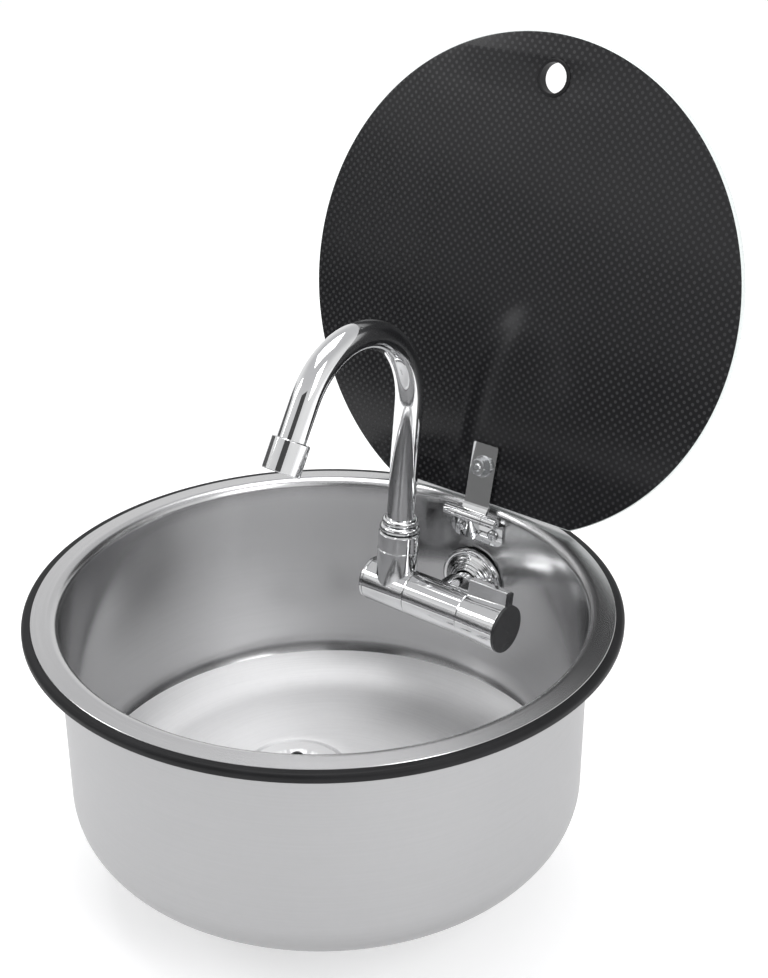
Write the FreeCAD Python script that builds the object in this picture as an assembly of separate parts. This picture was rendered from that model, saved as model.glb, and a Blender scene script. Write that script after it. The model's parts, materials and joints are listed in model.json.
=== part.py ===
import FreeCAD, Part
import math
import os

# Round drop-in caravan sink with a folding gooseneck tap and a hinged glass lid.
# Millimetres, +Z up. The origin is the axis of the bowl at the top of the worktop, where the
# rubber rim seal rests. The tap and the lid hinge are at the back (+Y) and the user stands
# at the front (-Y). The lid is open, leaning back on the rim, and the tap is raised.

Vector = FreeCAD.Vector
AXIS_X = Vector(1, 0, 0)
AXIS_Y = Vector(0, 1, 0)
AXIS_Z = Vector(0, 0, 1)
ORIGIN = Vector(0, 0, 0)

# --- bowl, one sheet drawn with its rim -------------------------------------------------
rim_radius = 170.0           # outer edge of the steel rim
bowl_height = 150.0          # crest of the rim down to the underside of the floor
sheet = 0.8                  # thickness of the stainless sheet
rim_width = 14.6             # steel edge in to the outside of the bowl wall
rim_bend = 1.8               # bend between wall and rim, on the wet side
rim_slope = 8.2              # degrees that the rim falls towards its edge
floor_bend = 31.4            # bend between wall and floor, on the wet side

# --- rubber rim seal --------------------------------------------------------------------
seal_thickness = 4.7         # worktop to the underside of the steel edge
seal_reach = 5.2             # rubber that shows outside the steel edge
seal_foot = 10.0             # rubber under the rim, inwards from the steel edge
seal_lip_drop = 0.3          # top of the rubber below the top of the steel edge
fit_gap = 0.05               # gap between pieces that are pressed or screwed together

# --- waste in the floor -----------------------------------------------------------------
waste_x = -37.0
waste_y = 11.0
recess_radius = 34.0         # pressed recess that the strainer lies in
recess_depth = 2.2
recess_hole = 22.0           # hole in the recess
strainer_radius = 32.5
strainer_sheet = 1.2
strainer_dish = 1.6          # dish of the strainer plate below its flange
strainer_hole = 5.0          # radius of each drain hole
strainer_hole_circle = 17.0  # radius of the circle of drain holes
strainer_hole_count = 6
waste_seal = 1.5             # thickness of the rubber ring under the floor
waste_cup_radius = 30.0
waste_cup_depth = 16.0
waste_cup_wall = 2.5
hose_radius = 12.5           # outside of the hose tail
hose_bore = 10.0
hose_length = 20.0
waste_screw_radius = 2.5
waste_screw_head = 5.0

# --- lid hinge --------------------------------------------------------------------------
hinge_x = 2.2                # middle of the hinge
hinge_setback = 11.2         # outside of the bowl wall in to the axis of the hinge pin
hinge_z = 1.0
knuckle_radius = 3.5
hinge_pin_radius = 1.5
hinge_clearance = 0.05       # radial, pin in the turning knuckle
hinge_length = 40.0          # base leaf and barrel along X
strap_width = 19.0
knuckle_gap = 0.3            # side play at each end of the middle knuckle
leaf_thickness = 1.5         # both hinge leaves
leaf_drop = 21.0             # pin axis down to the lower edge of the base leaf
leaf_corner = 6.0
leaf_screw_drop = 13.0       # pin axis down to the two screws
leaf_screw_spacing = 25.5
leaf_screw_radius = 2.0
leaf_screw_head = 3.9
nut_small_flats = 7.0
nut_small_height = 3.2

# --- glass lid --------------------------------------------------------------------------
lid_lean = 13.2              # degrees behind upright when open
lid_inset = 13.0             # steel edge in to the edge of the closed lid
glass_thickness = 5.0
glass_edge = 1.0             # polished round on the glass edges
lid_forward = 5.1            # middle of the closed lid in front of the bowl's axis
lid_straight = 9.5           # pin axis to the straight edge of the glass
finger_hole_x = 5.5
finger_hole_inset = 26.5     # edge of the glass in to the middle of the finger hole
finger_hole_radius = 10.6    # hole in the glass
grommet_bore = 9.3
grommet_flange = 11.6
grommet_flange_thickness = 1.1
strap_length = 48.0          # pin axis to the end of the strap
strap_offset = 4.25          # pin axis to the near face of the strap
strap_corner = 1.2
pad_thickness = 1.0          # rubber pad between strap and glass
bolt_reach = 33.2            # pin axis to the lid bolt
bolt_radius = 3.0
bolt_head_radius = 7.0
bolt_head_height = 3.9
bolt_end = 7.2               # bolt end above the strap
nut_large_flats = 10.0
nut_large_height = 5.0
washer_radius = 7.0
washer_thickness = 1.2
bolt_sleeve = 4.4            # hole in the glass, filled by the rubber sleeve

# --- tap --------------------------------------------------------------------------------
tap_x = -0.8                 # middle of the fixed body, where the shank goes to the wall
tap_setback = 40.5           # outside of the bowl wall in to the axis of fold and knob
tap_z = -51.8
body_radius = 14.5
body_left = -21.0            # ends of the fixed body along X
body_right = 22.0
running_gap = 0.3            # end gap between fixed and turning chrome pieces
shaft_clearance = 0.05       # radial, in bores that turn
spigot_radius = 8.0          # hollow spigot that the head folds on
spigot_length = 26.0
o_ring_groove = 2.4          # width of each groove
o_ring_depth = 1.5
o_ring_left = -43.6          # middle of each groove, on both sides of the water's way out
o_ring_right = -28.2
fold_screw_length = 6.5
waterway = 4.0
boss_radius = 11.8           # boss on the back of the body
boss_reach = 21.0            # fold axis to the end of the boss
shank_radius = 10.4          # half inch pipe thread
shank_spigot = 8.0
shank_tail = 37.5            # outside of the bowl wall to the free end of the shank
shank_bore = 5.0
wall_hole_clearance = 0.6
flange_radius = 23.5         # cover flange on the bowl wall
flange_height = 9.5
gasket_radius = 21.5
back_gasket_thickness = 2.0
back_washer_radius = 17.0
back_washer_thickness = 1.5
backnut_flats = 27.0
backnut_height = 8.0
thread_relief = 1.2          # groove between the backnut's thread and the hose's
thread_relief_depth = 0.8
cartridge_radius = 10.0
cartridge_left = -5.0
gland_height = 5.0
spindle_radius = 4.0
spindle_reach = 37.0         # end of the spindle along X

# --- folding head and spout -------------------------------------------------------------
head_lean = 6.0              # degrees that the raised head leans back
neck_x = -36.8
head_left = -54.4
end_cap_thickness = 2.8
end_cap_radius = 14.9
end_cap_edge = 1.8           # round on the cap's edge
neck_radius = 13.7
neck_height = 28.0           # fold axis to the seam under the collar nut
neck_bore = 11.2
neck_bore_floor = 12.0
collar_top = 40.0
collar_thread = 3.5          # collar nut's thread in the neck
lower_bead_radius = 13.3
upper_bead_radius = 11.9
lower_bead_height = 5.1
upper_bead_height = 4.4
tube_radius = 9.2
tube_wall = 1.2
spout_rise = 128.6           # fold axis to the start of the bend
spout_bend = 54.5            # radius of the gooseneck's middle line
spout_sweep = 154.6          # degrees
spout_drop = 43.2            # straight outlet after the bend
aerator_radius = 12.2
aerator_length = 20.0
aerator_bore = 7.6

# --- knob -------------------------------------------------------------------------------
knob_left_radius = 14.5
knob_right_radius = 16.0
knob_right = 51.2
knob_cap_thickness = 1.7
fin_radius = 25.2            # axis to the top of the thumb fin
fin_width = 6.0
fin_corner = 0.9             # round on the fin's long edges
fin_fillet = 1.6             # hollow round where the fin meets the knob
fin_tilt = 9.0               # degrees that the fin leans towards the wall
knob_shell = 2.0
knob_screw_radius = 2.0
knob_screw_depth = 9.0       # thread in the spindle's end

# --- values worked out from the driving dimensions --------------------------------------
slope = math.radians(rim_slope)
wall_radius = rim_radius - rim_width     # outside of the bowl wall
wall_inner = wall_radius - sheet
hinge_y = wall_radius - hinge_setback
tap_y = wall_radius - tap_setback        # axis that the head folds about and the knob turns about
lid_radius = rim_radius - lid_inset
lid_reach = hinge_y + lid_forward        # pin axis to the middle of the disc
chord_distance = lid_reach - lid_straight
finger_hole_reach = lid_radius - finger_hole_inset
shank_end = tap_setback + shank_tail     # fold axis to the free end of the shank
bend_centre_r = wall_inner + rim_bend
rim_edge_top = seal_thickness + sheet / math.cos(slope)
bend_end_r = bend_centre_r + rim_bend * math.sin(slope)
bend_centre_z = (rim_edge_top + (rim_radius - bend_end_r) * math.tan(slope)
                 - rim_bend * math.cos(slope))
rim_crest = bend_centre_z + rim_bend
bowl_bottom = rim_crest - bowl_height
floor_top = bowl_bottom + sheet
recess_top = floor_top - recess_depth
recess_bottom = recess_top - sheet
leaf_seat_y = math.sqrt(wall_inner ** 2 - (hinge_length / 2 + abs(hinge_x)) ** 2) - fit_gap
glass_near = strap_offset + leaf_thickness + pad_thickness
glass_far = glass_near + glass_thickness
flange_seat = math.sqrt(wall_inner ** 2 - (flange_radius + abs(tap_x)) ** 2) - tap_y - fit_gap
wall_out = wall_radius - tap_y           # outside of the bowl wall, from the fold axis
head_right = body_left - running_gap
knob_left = body_right + running_gap


# --- small helpers ----------------------------------------------------------------------
def turned(points, axis):
    """Solid of revolution from (along, radius) points, about the line through the origin."""
    place = {
        "X": lambda along, radius: Vector(along, 0, radius),
        "Y": lambda along, radius: Vector(0, along, radius),
        "Z": lambda along, radius: Vector(radius, 0, along),
    }[axis]
    line = {"X": AXIS_X, "Y": AXIS_Y, "Z": AXIS_Z}[axis]
    corners = [place(along, radius) for along, radius in points]
    face = Part.Face(Part.makePolygon(corners + corners[:1]))
    return face.revolve(ORIGIN, line, 360)


def ring(inner, outer, low, high, axis="Z"):
    return turned([(low, inner), (high, inner), (high, outer), (low, outer)], axis)


def rod(radius, low, high, axis="Z"):
    line = {"X": AXIS_X, "Y": AXIS_Y, "Z": AXIS_Z}[axis]
    return Part.makeCylinder(radius, high - low, line * low, line)


def moved(shape, x=0.0, y=0.0, z=0.0):
    copy = shape.copy()
    copy.translate(Vector(x, y, z))
    return copy


def hexagon(flats, low, high, axis="Z"):
    """Hexagon nut blank with its corners chamfered by a cone at both ends."""
    circumradius = flats / math.sqrt(3)
    corners = []
    for index in range(7):
        angle = math.radians(60 * index)
        corners.append(Vector(circumradius * math.cos(angle), circumradius * math.sin(angle), low))
    blank = Part.Face(Part.makePolygon(corners)).extrude(AXIS_Z * (high - low))
    chamfer = circumradius - flats / 2
    drop = chamfer * 0.6
    barrel = turned([(low, 0), (low, flats / 2), (low + drop, circumradius),
                     (high - drop, circumradius), (high, flats / 2), (high, 0)], "Z")
    nut = blank.common(barrel)
    if axis == "Y":
        nut.rotate(ORIGIN, AXIS_X, -90)
    return nut


def arc(centre, radius, start, end):
    """Arc in the XZ plane about centre (r, z), between two angles in degrees."""
    points = []
    for angle in (start, (start + end) / 2, end):
        turn = math.radians(angle)
        points.append(Vector(centre[0] + radius * math.cos(turn), 0,
                             centre[1] + radius * math.sin(turn)))
    return Part.Arc(*points).toShape()


def line(first, second):
    return Part.makeLine(first, second)


def joined(edges):
    return Part.Face(Part.Wire(Part.__sortEdges__(edges)))


def start_of(edge):
    return edge.valueAt(edge.FirstParameter)


def end_of(edge):
    return edge.valueAt(edge.LastParameter)


def on_tap(shape):
    """From the tap's own frame, with the fold axis along X, to the sink."""
    return moved(shape, 0, tap_y, tap_z)


def on_head(shape):
    """From the head's frame, with the neck along Z, to the sink with the head leaning back."""
    copy = shape.copy()
    copy.rotate(ORIGIN, AXIS_X, -head_lean)
    return moved(copy, neck_x, tap_y, tap_z)


def on_lid(shape):
    """From the upright lid's frame, with the hinge pin along X, to the open lid."""
    copy = shape.copy()
    copy.rotate(ORIGIN, AXIS_X, -lid_lean)
    return moved(copy, 0, hinge_y, hinge_z)


# --- bowl -------------------------------------------------------------------------------
def bowl_line(depth):
    """Edges of the bowl's section at a depth of sheet below the wet side."""
    floor_r = wall_inner - floor_bend
    floor_z = floor_top + floor_bend
    corner = arc((floor_r, floor_z), floor_bend + depth, -90, 0)
    bend = arc((bend_centre_r, bend_centre_z), rim_bend - depth, 180, 90 - rim_slope)
    edge_z = seal_thickness + (sheet - depth) / math.cos(slope)
    floor = line(Vector(0, 0, floor_top - depth), start_of(corner))
    wall = line(end_of(corner), start_of(bend))
    rim = line(end_of(bend), Vector(rim_radius, 0, edge_z))
    return [floor, corner, wall, bend, rim]


def waste_recess():
    """Pressed recess with sloping sides, as a disc of sheet that replaces part of the floor."""
    slope_run = recess_depth
    section = [
        (floor_top, recess_radius + 2 * slope_run),
        (floor_top, recess_radius + slope_run / 2),
        (recess_top, recess_radius - slope_run / 2),
        (recess_top, recess_hole),
        (recess_bottom, recess_hole),
        (recess_bottom, recess_radius - slope_run / 2 + sheet / 2),
        (bowl_bottom, recess_radius + slope_run / 2 + sheet / 2),
        (bowl_bottom, recess_radius + 2 * slope_run),
    ]
    return moved(turned(section, "Z"), waste_x, waste_y)


def basin():
    wet = bowl_line(0.0)
    dry = bowl_line(sheet)
    edges = wet + dry + [line(start_of(wet[0]), start_of(dry[0])),
                         line(end_of(wet[-1]), end_of(dry[-1]))]
    shell = joined(edges).revolve(ORIGIN, AXIS_Z, 360)
    floor_cut = rod(recess_radius + 2 * recess_depth, bowl_bottom - 1, floor_top + 1)
    shell = shell.cut(moved(floor_cut, waste_x, waste_y))
    shell = shell.fuse(waste_recess()).removeSplitter()
    tap_hole = rod(shank_radius + wall_hole_clearance, tap_y, rim_radius, "Y")
    shell = shell.cut(moved(tap_hole, tap_x, 0, tap_z))
    for screw_x in leaf_screw_places():
        screw_hole = rod(leaf_screw_radius + 0.2, hinge_y - knuckle_radius, rim_radius, "Y")
        shell = shell.cut(moved(screw_hole, screw_x, 0, hinge_z - leaf_screw_drop))
    return shell


def rim_seal():
    """Rubber channel: a foot under the rim and a rounded lip round the steel edge."""
    inner_r = rim_radius - seal_foot
    outer_r = rim_radius + seal_reach
    top_z = rim_edge_top - seal_lip_drop
    inner_z = seal_thickness + seal_foot * math.tan(slope) - fit_gap
    shoulder = 2.4
    edges = [
        line(Vector(inner_r, 0, 0), Vector(outer_r - 1.0, 0, 0)),
        line(Vector(outer_r - 1.0, 0, 0), Vector(outer_r, 0, 1.2)),
        line(Vector(outer_r, 0, 1.2), Vector(outer_r, 0, top_z - shoulder)),
        arc((outer_r - shoulder, top_z - shoulder), shoulder, 0, 90),
        line(Vector(outer_r - shoulder, 0, top_z), Vector(rim_radius + fit_gap, 0, top_z)),
        line(Vector(rim_radius + fit_gap, 0, top_z),
             Vector(rim_radius + fit_gap, 0, seal_thickness - fit_gap)),
        line(Vector(rim_radius + fit_gap, 0, seal_thickness - fit_gap), Vector(inner_r, 0, inner_z)),
        line(Vector(inner_r, 0, inner_z), Vector(inner_r, 0, 0)),
    ]
    return joined(edges).revolve(ORIGIN, AXIS_Z, 360)


# --- waste ------------------------------------------------------------------------------
def on_waste(shape):
    return moved(shape, waste_x, waste_y)


def drain_holes(low, high):
    holes = []
    for index in range(strainer_hole_count):
        angle = math.radians(360 / strainer_hole_count * index + 128)
        holes.append(moved(rod(strainer_hole, low, high), strainer_hole_circle * math.cos(angle),
                           strainer_hole_circle * math.sin(angle)))
    return holes


def waste_strainer():
    top = floor_top
    under = top - strainer_sheet
    plate = top - strainer_dish
    section = [
        (plate, waste_screw_radius + 0.2),
        (plate, recess_hole + fit_gap - 1.6),
        (top, recess_hole + 2.0),
        (top, strainer_radius - 1.0),
        (top - 0.6, strainer_radius),
        (under, strainer_radius),
        (under, recess_hole + 1.2),
        (plate - strainer_sheet, recess_hole - 2.0),
        (plate - strainer_sheet, waste_screw_radius + 0.2),
    ]
    disc = turned(section, "Z")
    for hole in drain_holes(plate - 3, top + 1):
        disc = disc.cut(hole)
    return on_waste(disc)


def waste_upper_seal():
    low = recess_top + fit_gap
    high = floor_top - strainer_sheet - fit_gap
    return on_waste(ring(recess_hole + 2.0, strainer_radius - 1.0, low, high))


def waste_lower_seal():
    high = recess_bottom - fit_gap
    return on_waste(ring(recess_hole + 1.0, waste_cup_radius - 0.5, high - waste_seal, high))


def waste_cup_top():
    return recess_bottom - waste_seal - 2 * fit_gap


def waste_cup():
    """Moulded cup with its hose tail and the spoked boss that the screw pulls on."""
    top = waste_cup_top()
    floor = top - waste_cup_depth
    end = floor - hose_length
    bore = recess_hole - 1.0
    section = [
        (top, bore),
        (floor + waste_cup_wall + 4.0, bore),
        (floor + waste_cup_wall, hose_bore),
        (end, hose_bore),
        (end, hose_radius - 0.5),
        (end + 0.8, hose_radius),
        (floor, hose_radius),
        (floor, hose_radius + 3.0),
        (floor + 4.0, bore + waste_cup_wall),
        (top - 3.0, bore + waste_cup_wall),
        (top - 3.0, waste_cup_radius),
        (top, waste_cup_radius),
    ]
    cup = turned(section, "Z")
    boss = rod(waste_screw_radius + 2.6, top - 12.0, top - 1.0)
    spokes = []
    for index in range(3):
        spoke = Part.makeBox(bore + 0.5, 2.4, 8.0, Vector(0, -1.2, top - 11.0))
        spoke.rotate(ORIGIN, AXIS_Z, 120 * index + 98)
        spokes.append(spoke)
    screw_bore = rod(waste_screw_radius + fit_gap, top - 13.0, top)
    return on_waste(cup.fuse([boss] + spokes).cut(screw_bore).removeSplitter())


def waste_screw():
    plate = floor_top - strainer_dish + fit_gap
    shank = rod(waste_screw_radius, waste_cup_top() - 10.0, plate)
    head = turned([(plate, 0), (plate, waste_screw_head), (plate + 1.0, waste_screw_head - 0.3),
                   (plate + 1.5, waste_screw_head - 1.6), (plate + 1.5, 0)], "Z")
    slot = Part.makeBox(2 * waste_screw_head, 1.0, 1.0, Vector(-waste_screw_head, -0.5, plate + 0.8))
    return on_waste(shank.fuse(head).cut(slot))


# --- lid hinge --------------------------------------------------------------------------
def leaf_screw_places():
    return (hinge_x - leaf_screw_spacing / 2, hinge_x + leaf_screw_spacing / 2)


def side_plate(points, half_width):
    """Plate of constant (y, z) outline, centred on the hinge along X."""
    corners = [Vector(-half_width, y, z) for y, z in points]
    face = Part.Face(Part.makePolygon(corners + corners[:1]))
    return face.extrude(AXIS_X * (2 * half_width))


def hinge_base_leaf():
    """Leaf on the bowl wall, cranked forward to two knuckles with the strap's between them."""
    back = leaf_seat_y - hinge_y
    front = back - leaf_thickness
    half = hinge_length / 2
    plate = side_plate([(back, -leaf_drop), (back, -6.6), (front + 0.2, -4.4), (1.2, -2.6),
                        (0.4, -3.45), (front - 0.9, -5.9), (front, -7.2), (front, -leaf_drop)], half)
    plate = plate.fuse(rod(knuckle_radius, -half, half, "X"))
    corner_edges = [edge for edge in plate.Edges
                    if abs(edge.Length - leaf_thickness) < 1e-6
                    and edge.CenterOfMass.z < -leaf_drop + 1e-6]
    plate = plate.makeFillet(leaf_corner, corner_edges)
    middle = strap_width / 2 + knuckle_gap
    room = 2 * leaf_drop
    notch = Part.makeBox(2 * middle, room, room, Vector(-middle, -room / 2, -7.4))
    plate = plate.cut(notch).cut(rod(hinge_pin_radius, -half - 1, half + 1, "X"))
    leaf = moved(plate, hinge_x, hinge_y, hinge_z)
    for screw_x in leaf_screw_places():
        hole = rod(leaf_screw_radius + 0.2, hinge_y, leaf_seat_y + 1, "Y")
        leaf = leaf.cut(moved(hole, screw_x, 0, hinge_z - leaf_screw_drop))
    return leaf.removeSplitter()


def hinge_base_screws():
    """Two pan head screws through the leaf and the bowl wall."""
    seat = leaf_seat_y - leaf_thickness - fit_gap
    end = wall_radius + nut_small_height + 1.6
    screws = []
    for screw_x in leaf_screw_places():
        head = turned([(seat, 0), (seat, leaf_screw_head), (seat - 1.2, leaf_screw_head - 0.2),
                       (seat - 2.1, leaf_screw_head - 1.4), (seat - 2.4, 0)], "Y")
        slot = Part.makeBox(0.9, 1.2, 5.6, Vector(-0.45, seat - 2.6, -2.8))
        cross = Part.makeBox(5.6, 1.2, 0.9, Vector(-2.8, seat - 2.6, -0.45))
        screw = head.fuse(rod(leaf_screw_radius, seat - 0.1, end, "Y")).cut([slot, cross])
        screws.append(moved(screw, screw_x, 0, hinge_z - leaf_screw_drop))
    return Part.makeCompound(screws)


def hinge_base_nuts():
    nuts = []
    for screw_x in leaf_screw_places():
        nut = hexagon(nut_small_flats, 0, nut_small_height, "Y")
        nut = nut.cut(rod(leaf_screw_radius + fit_gap, -1, nut_small_height + 1, "Y"))
        nuts.append(moved(nut, screw_x, wall_radius + fit_gap, hinge_z - leaf_screw_drop))
    return Part.makeCompound(nuts)


def hinge_pin():
    """Pin pressed into the outer knuckles, with a domed end at each side."""
    half = hinge_length / 2
    radius = hinge_pin_radius - fit_gap
    section = [(-half - 0.5, 0), (-half - 0.2, radius - 0.3), (-half, radius), (half, radius),
               (half + 0.2, radius - 0.3), (half + 0.5, 0)]
    return moved(turned(section, "X"), hinge_x, hinge_y, hinge_z)


def hinge_lid_strap():
    """Strap rolled round the pin, stepped back to lie along the glass."""
    near = strap_offset
    far = strap_offset + leaf_thickness
    root = side_plate([(knuckle_radius, -0.4), (knuckle_radius, 1.2), (far, 7.2), (far, strap_length),
                       (near, strap_length), (near, 7.8), (knuckle_radius - 1.7, 2.9), (1.6, 0.0)],
                      strap_width / 2)
    tip_edges = [edge for edge in root.Edges
                 if abs(edge.Length - leaf_thickness) < 1e-6
                 and edge.CenterOfMass.z > strap_length - 1e-6]
    root = root.makeFillet(strap_corner, tip_edges)
    strap = root.fuse(rod(knuckle_radius, -strap_width / 2, strap_width / 2, "X"))
    pin_bore = rod(hinge_pin_radius - fit_gap + hinge_clearance, -strap_width, strap_width, "X")
    bolt_hole = moved(rod(bolt_radius + 0.2, 0, glass_far, "Y"), 0, 0, bolt_reach)
    strap = strap.cut(pin_bore).cut(bolt_hole).removeSplitter()
    return on_lid(moved(strap, hinge_x))


# --- glass lid --------------------------------------------------------------------------
def lid_glass():
    """Glass disc with a straight edge over the hinge, polished round all its edges."""
    disc = moved(rod(lid_radius, glass_near, glass_far, "Y"), 0, 0, lid_reach)
    straight = lid_reach - chord_distance
    below = Part.makeBox(3 * lid_radius, 3 * glass_far, lid_radius,
                         Vector(-1.5 * lid_radius, -glass_far, straight - lid_radius))
    disc = disc.cut(below)
    rims = [edge for edge in disc.Edges if edge.Length > 2 * glass_thickness]
    disc = disc.makeFillet(glass_edge, rims)
    finger = rod(finger_hole_radius, 0, 2 * glass_far, "Y")
    disc = disc.cut(moved(finger, finger_hole_x, 0, lid_reach + finger_hole_reach))
    bolt = rod(bolt_sleeve, 0, 2 * glass_far, "Y")
    return on_lid(disc.cut(moved(bolt, hinge_x, 0, bolt_reach)))


def lid_finger_grommet():
    """Rubber grommet: a sleeve in the glass with a rounded flange on each face."""
    sleeve = finger_hole_radius - fit_gap
    low = glass_near - fit_gap
    high = glass_far + fit_gap
    flange = grommet_flange_thickness
    section = [
        (low - flange, grommet_bore + 0.4), (low - flange, grommet_flange - 0.7),
        (low - 0.4, grommet_flange), (low, grommet_flange), (low, sleeve), (high, sleeve),
        (high, grommet_flange), (high + 0.4, grommet_flange),
        (high + flange, grommet_flange - 0.7), (high + flange, grommet_bore + 0.4),
        (high + flange - 0.4, grommet_bore), (low - flange + 0.4, grommet_bore),
    ]
    grommet = turned(section, "Y")
    return on_lid(moved(grommet, finger_hole_x, 0, lid_reach + finger_hole_reach))


def on_bolt(shape):
    return on_lid(moved(shape, hinge_x, 0, bolt_reach))


def lid_pads():
    """Rubber pad between strap and glass, and the sleeved rubber washer behind the glass."""
    front = ring(bolt_radius + 0.15, washer_radius + 1.0, strap_offset + leaf_thickness + fit_gap / 2,
                 glass_near - fit_gap / 2, "Y")
    sleeve = bolt_sleeve - fit_gap
    section = [
        (glass_near + 0.2, bolt_radius + 0.15), (glass_near + 0.2, sleeve),
        (glass_far + fit_gap / 2, sleeve), (glass_far + fit_gap / 2, washer_radius + 1.5),
        (glass_far + pad_thickness, washer_radius + 1.5),
        (glass_far + pad_thickness, bolt_radius + 0.15),
    ]
    return Part.makeCompound([on_bolt(front), on_bolt(turned(section, "Y"))])


def lid_back_washer():
    low = glass_far + pad_thickness + fit_gap
    return on_bolt(ring(bolt_radius + 0.15, washer_radius + 1.0, low, low + washer_thickness, "Y"))


def lid_bolt():
    """Bolt through strap, pad and glass, with a domed head behind the glass."""
    seat = glass_far + pad_thickness + washer_thickness + 2 * fit_gap
    end = strap_offset - bolt_end
    section = [
        (end, 0), (end, bolt_radius - 1.2), (end + 0.8, bolt_radius - 0.3), (seat, bolt_radius - 0.3),
        (seat, bolt_head_radius), (seat + 1.0, bolt_head_radius),
        (seat + 2.6, bolt_head_radius - 2.2), (seat + bolt_head_height, bolt_head_radius - 5.0),
        (seat + bolt_head_height, 0),
    ]
    return on_bolt(turned(section, "Y"))


def lid_front_washer():
    high = strap_offset - fit_gap
    return on_bolt(ring(bolt_radius, washer_radius, high - washer_thickness, high, "Y"))


def lid_nut():
    high = strap_offset - washer_thickness - 2 * fit_gap
    nut = hexagon(nut_large_flats, high - nut_large_height, high, "Y")
    hole = rod(bolt_radius - 0.3 + fit_gap, high - nut_large_height - 1, high + 1, "Y")
    return on_bolt(nut.cut(hole))


# --- tap, fixed pieces ------------------------------------------------------------------
def wall_cylinder(radius):
    """Bowl wall as a tall cylinder, in the tap's own frame."""
    height = 4 * flange_radius
    return Part.makeCylinder(radius, height, Vector(0, -tap_y, -height / 2), AXIS_Z)


def tap_body():
    """Fixed body: bored for the cartridge, with the fold spigot and the boss for the shank."""
    right = body_right
    spigot_end = body_left - spigot_length
    groove = spigot_radius - o_ring_depth
    half = o_ring_groove / 2
    section = [
        (spigot_end, waterway), (spigot_end, spigot_radius - 0.6), (spigot_end + 0.6, spigot_radius),
        (o_ring_left - half, spigot_radius), (o_ring_left - half, groove),
        (o_ring_left + half, groove), (o_ring_left + half, spigot_radius),
        (o_ring_right - half, spigot_radius), (o_ring_right - half, groove),
        (o_ring_right + half, groove), (o_ring_right + half, spigot_radius),
        (body_left, spigot_radius), (body_left, body_radius - 0.5), (body_left + 0.5, body_radius),
        (right - 0.5, body_radius), (right, body_radius - 0.5),
        (right, cartridge_radius + fit_gap), (cartridge_left, cartridge_radius + fit_gap),
        (cartridge_left, waterway),
    ]
    body = turned(section, "X")
    boss = moved(rod(boss_radius, 0, boss_reach, "Y"), tap_x)
    boss = boss.cut(rod(cartridge_radius + fit_gap, cartridge_left, right, "X"))
    boss = boss.cut(rod(waterway, body_left, cartridge_left, "X"))
    body = body.fuse(boss)
    socket = moved(rod(shank_spigot + fit_gap, body_radius - 1.0, boss_reach + 1, "Y"), tap_x)
    inlet = moved(rod(waterway, 0, boss_reach, "Y"), tap_x)
    gallery = ring(cartridge_radius, cartridge_radius + 2.0, tap_x - 3.0, tap_x + 3.0, "X")
    outlet = moved(rod(waterway - 1.0, 0, body_radius, "Z"), neck_x)
    body = body.cut([socket, inlet, gallery, outlet]).removeSplitter()
    return on_tap(body)


def fold_o_rings():
    """Two rubber rings in the grooves of the fold spigot."""
    rings = []
    for middle in (o_ring_left, o_ring_right):
        half = o_ring_groove / 2 - 0.2
        inner = spigot_radius - o_ring_depth + fit_gap
        rings.append(on_tap(ring(inner, spigot_radius, middle - half, middle + half, "X")))
    return Part.makeCompound(rings)


def fold_screw():
    """Shoulder screw in the end of the spigot that keeps the head on it."""
    seat = body_left - spigot_length - fit_gap
    section = [
        (seat + fold_screw_length, 0), (seat + fold_screw_length, waterway - 0.6),
        (seat + fold_screw_length - 0.6, waterway - fit_gap),
        (seat, waterway - fit_gap), (seat, spigot_radius + 1.2), (seat - 2.4, spigot_radius + 1.2),
        (seat - 3.0, spigot_radius + 0.4), (seat - 3.0, 3.0), (seat - 1.2, 3.0), (seat - 1.2, 0),
    ]
    return on_tap(turned(section, "X"))


def backnut_seat():
    return wall_out + back_gasket_thickness + back_washer_thickness + 2 * fit_gap


def tap_shank():
    """Threaded pipe from the boss through the bowl wall to the hose."""
    collar = boss_reach + fit_gap
    relief = backnut_seat() + backnut_height + 1.0
    relief_radius = shank_radius - thread_relief_depth
    section = [
        (body_radius - 0.5, shank_bore), (body_radius - 0.5, shank_spigot), (collar, shank_spigot),
        (collar, boss_radius - 1.2), (collar + 2.4, boss_radius - 1.2),
        (collar + 2.4, shank_radius), (relief, shank_radius), (relief, relief_radius),
        (relief + thread_relief, relief_radius), (relief + thread_relief, shank_radius),
        (shank_end - 1.0, shank_radius), (shank_end, shank_radius - 1.0), (shank_end, shank_bore),
    ]
    return on_tap(moved(turned(section, "Y"), tap_x))


def tap_wall_flange():
    """Cover flange: a flat rim, a step and a rounded dome, slid over the shank."""
    seat = flange_seat
    bore = shank_radius + 0.1
    dome = Part.makeSphere(30.0, Vector(0, seat + 30.0 - flange_height, 0))
    blank = turned([(seat, bore), (seat, flange_radius), (seat - 1.6, flange_radius - 0.3),
                    (seat - 2.2, flange_radius - 1.4), (seat - 2.2, flange_radius - 2.6),
                    (seat - flange_height, flange_radius - 2.6), (seat - flange_height, bore)], "Y")
    rim = ring(bore, flange_radius + 1, seat - 2.2, seat + 1, "Y")
    shell = blank.common(dome.fuse(rim))
    hollow = turned([(seat + 1, bore), (seat + 1, flange_radius - 4.5), (seat - 1.2, flange_radius - 4.5),
                     (seat - flange_height + 4.5, bore + 2.0), (seat - flange_height + 4.5, bore)], "Y")
    return on_tap(moved(shell.cut(hollow).removeSplitter(), tap_x))


def tap_wall_gasket():
    """Rubber seat under the flange, shaped to the round wall."""
    blank = ring(shank_radius + 0.15, flange_radius - 4.8, flange_seat - 1.0, wall_out, "Y")
    return on_tap(moved(blank, tap_x).common(wall_cylinder(wall_inner - fit_gap)))


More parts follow.
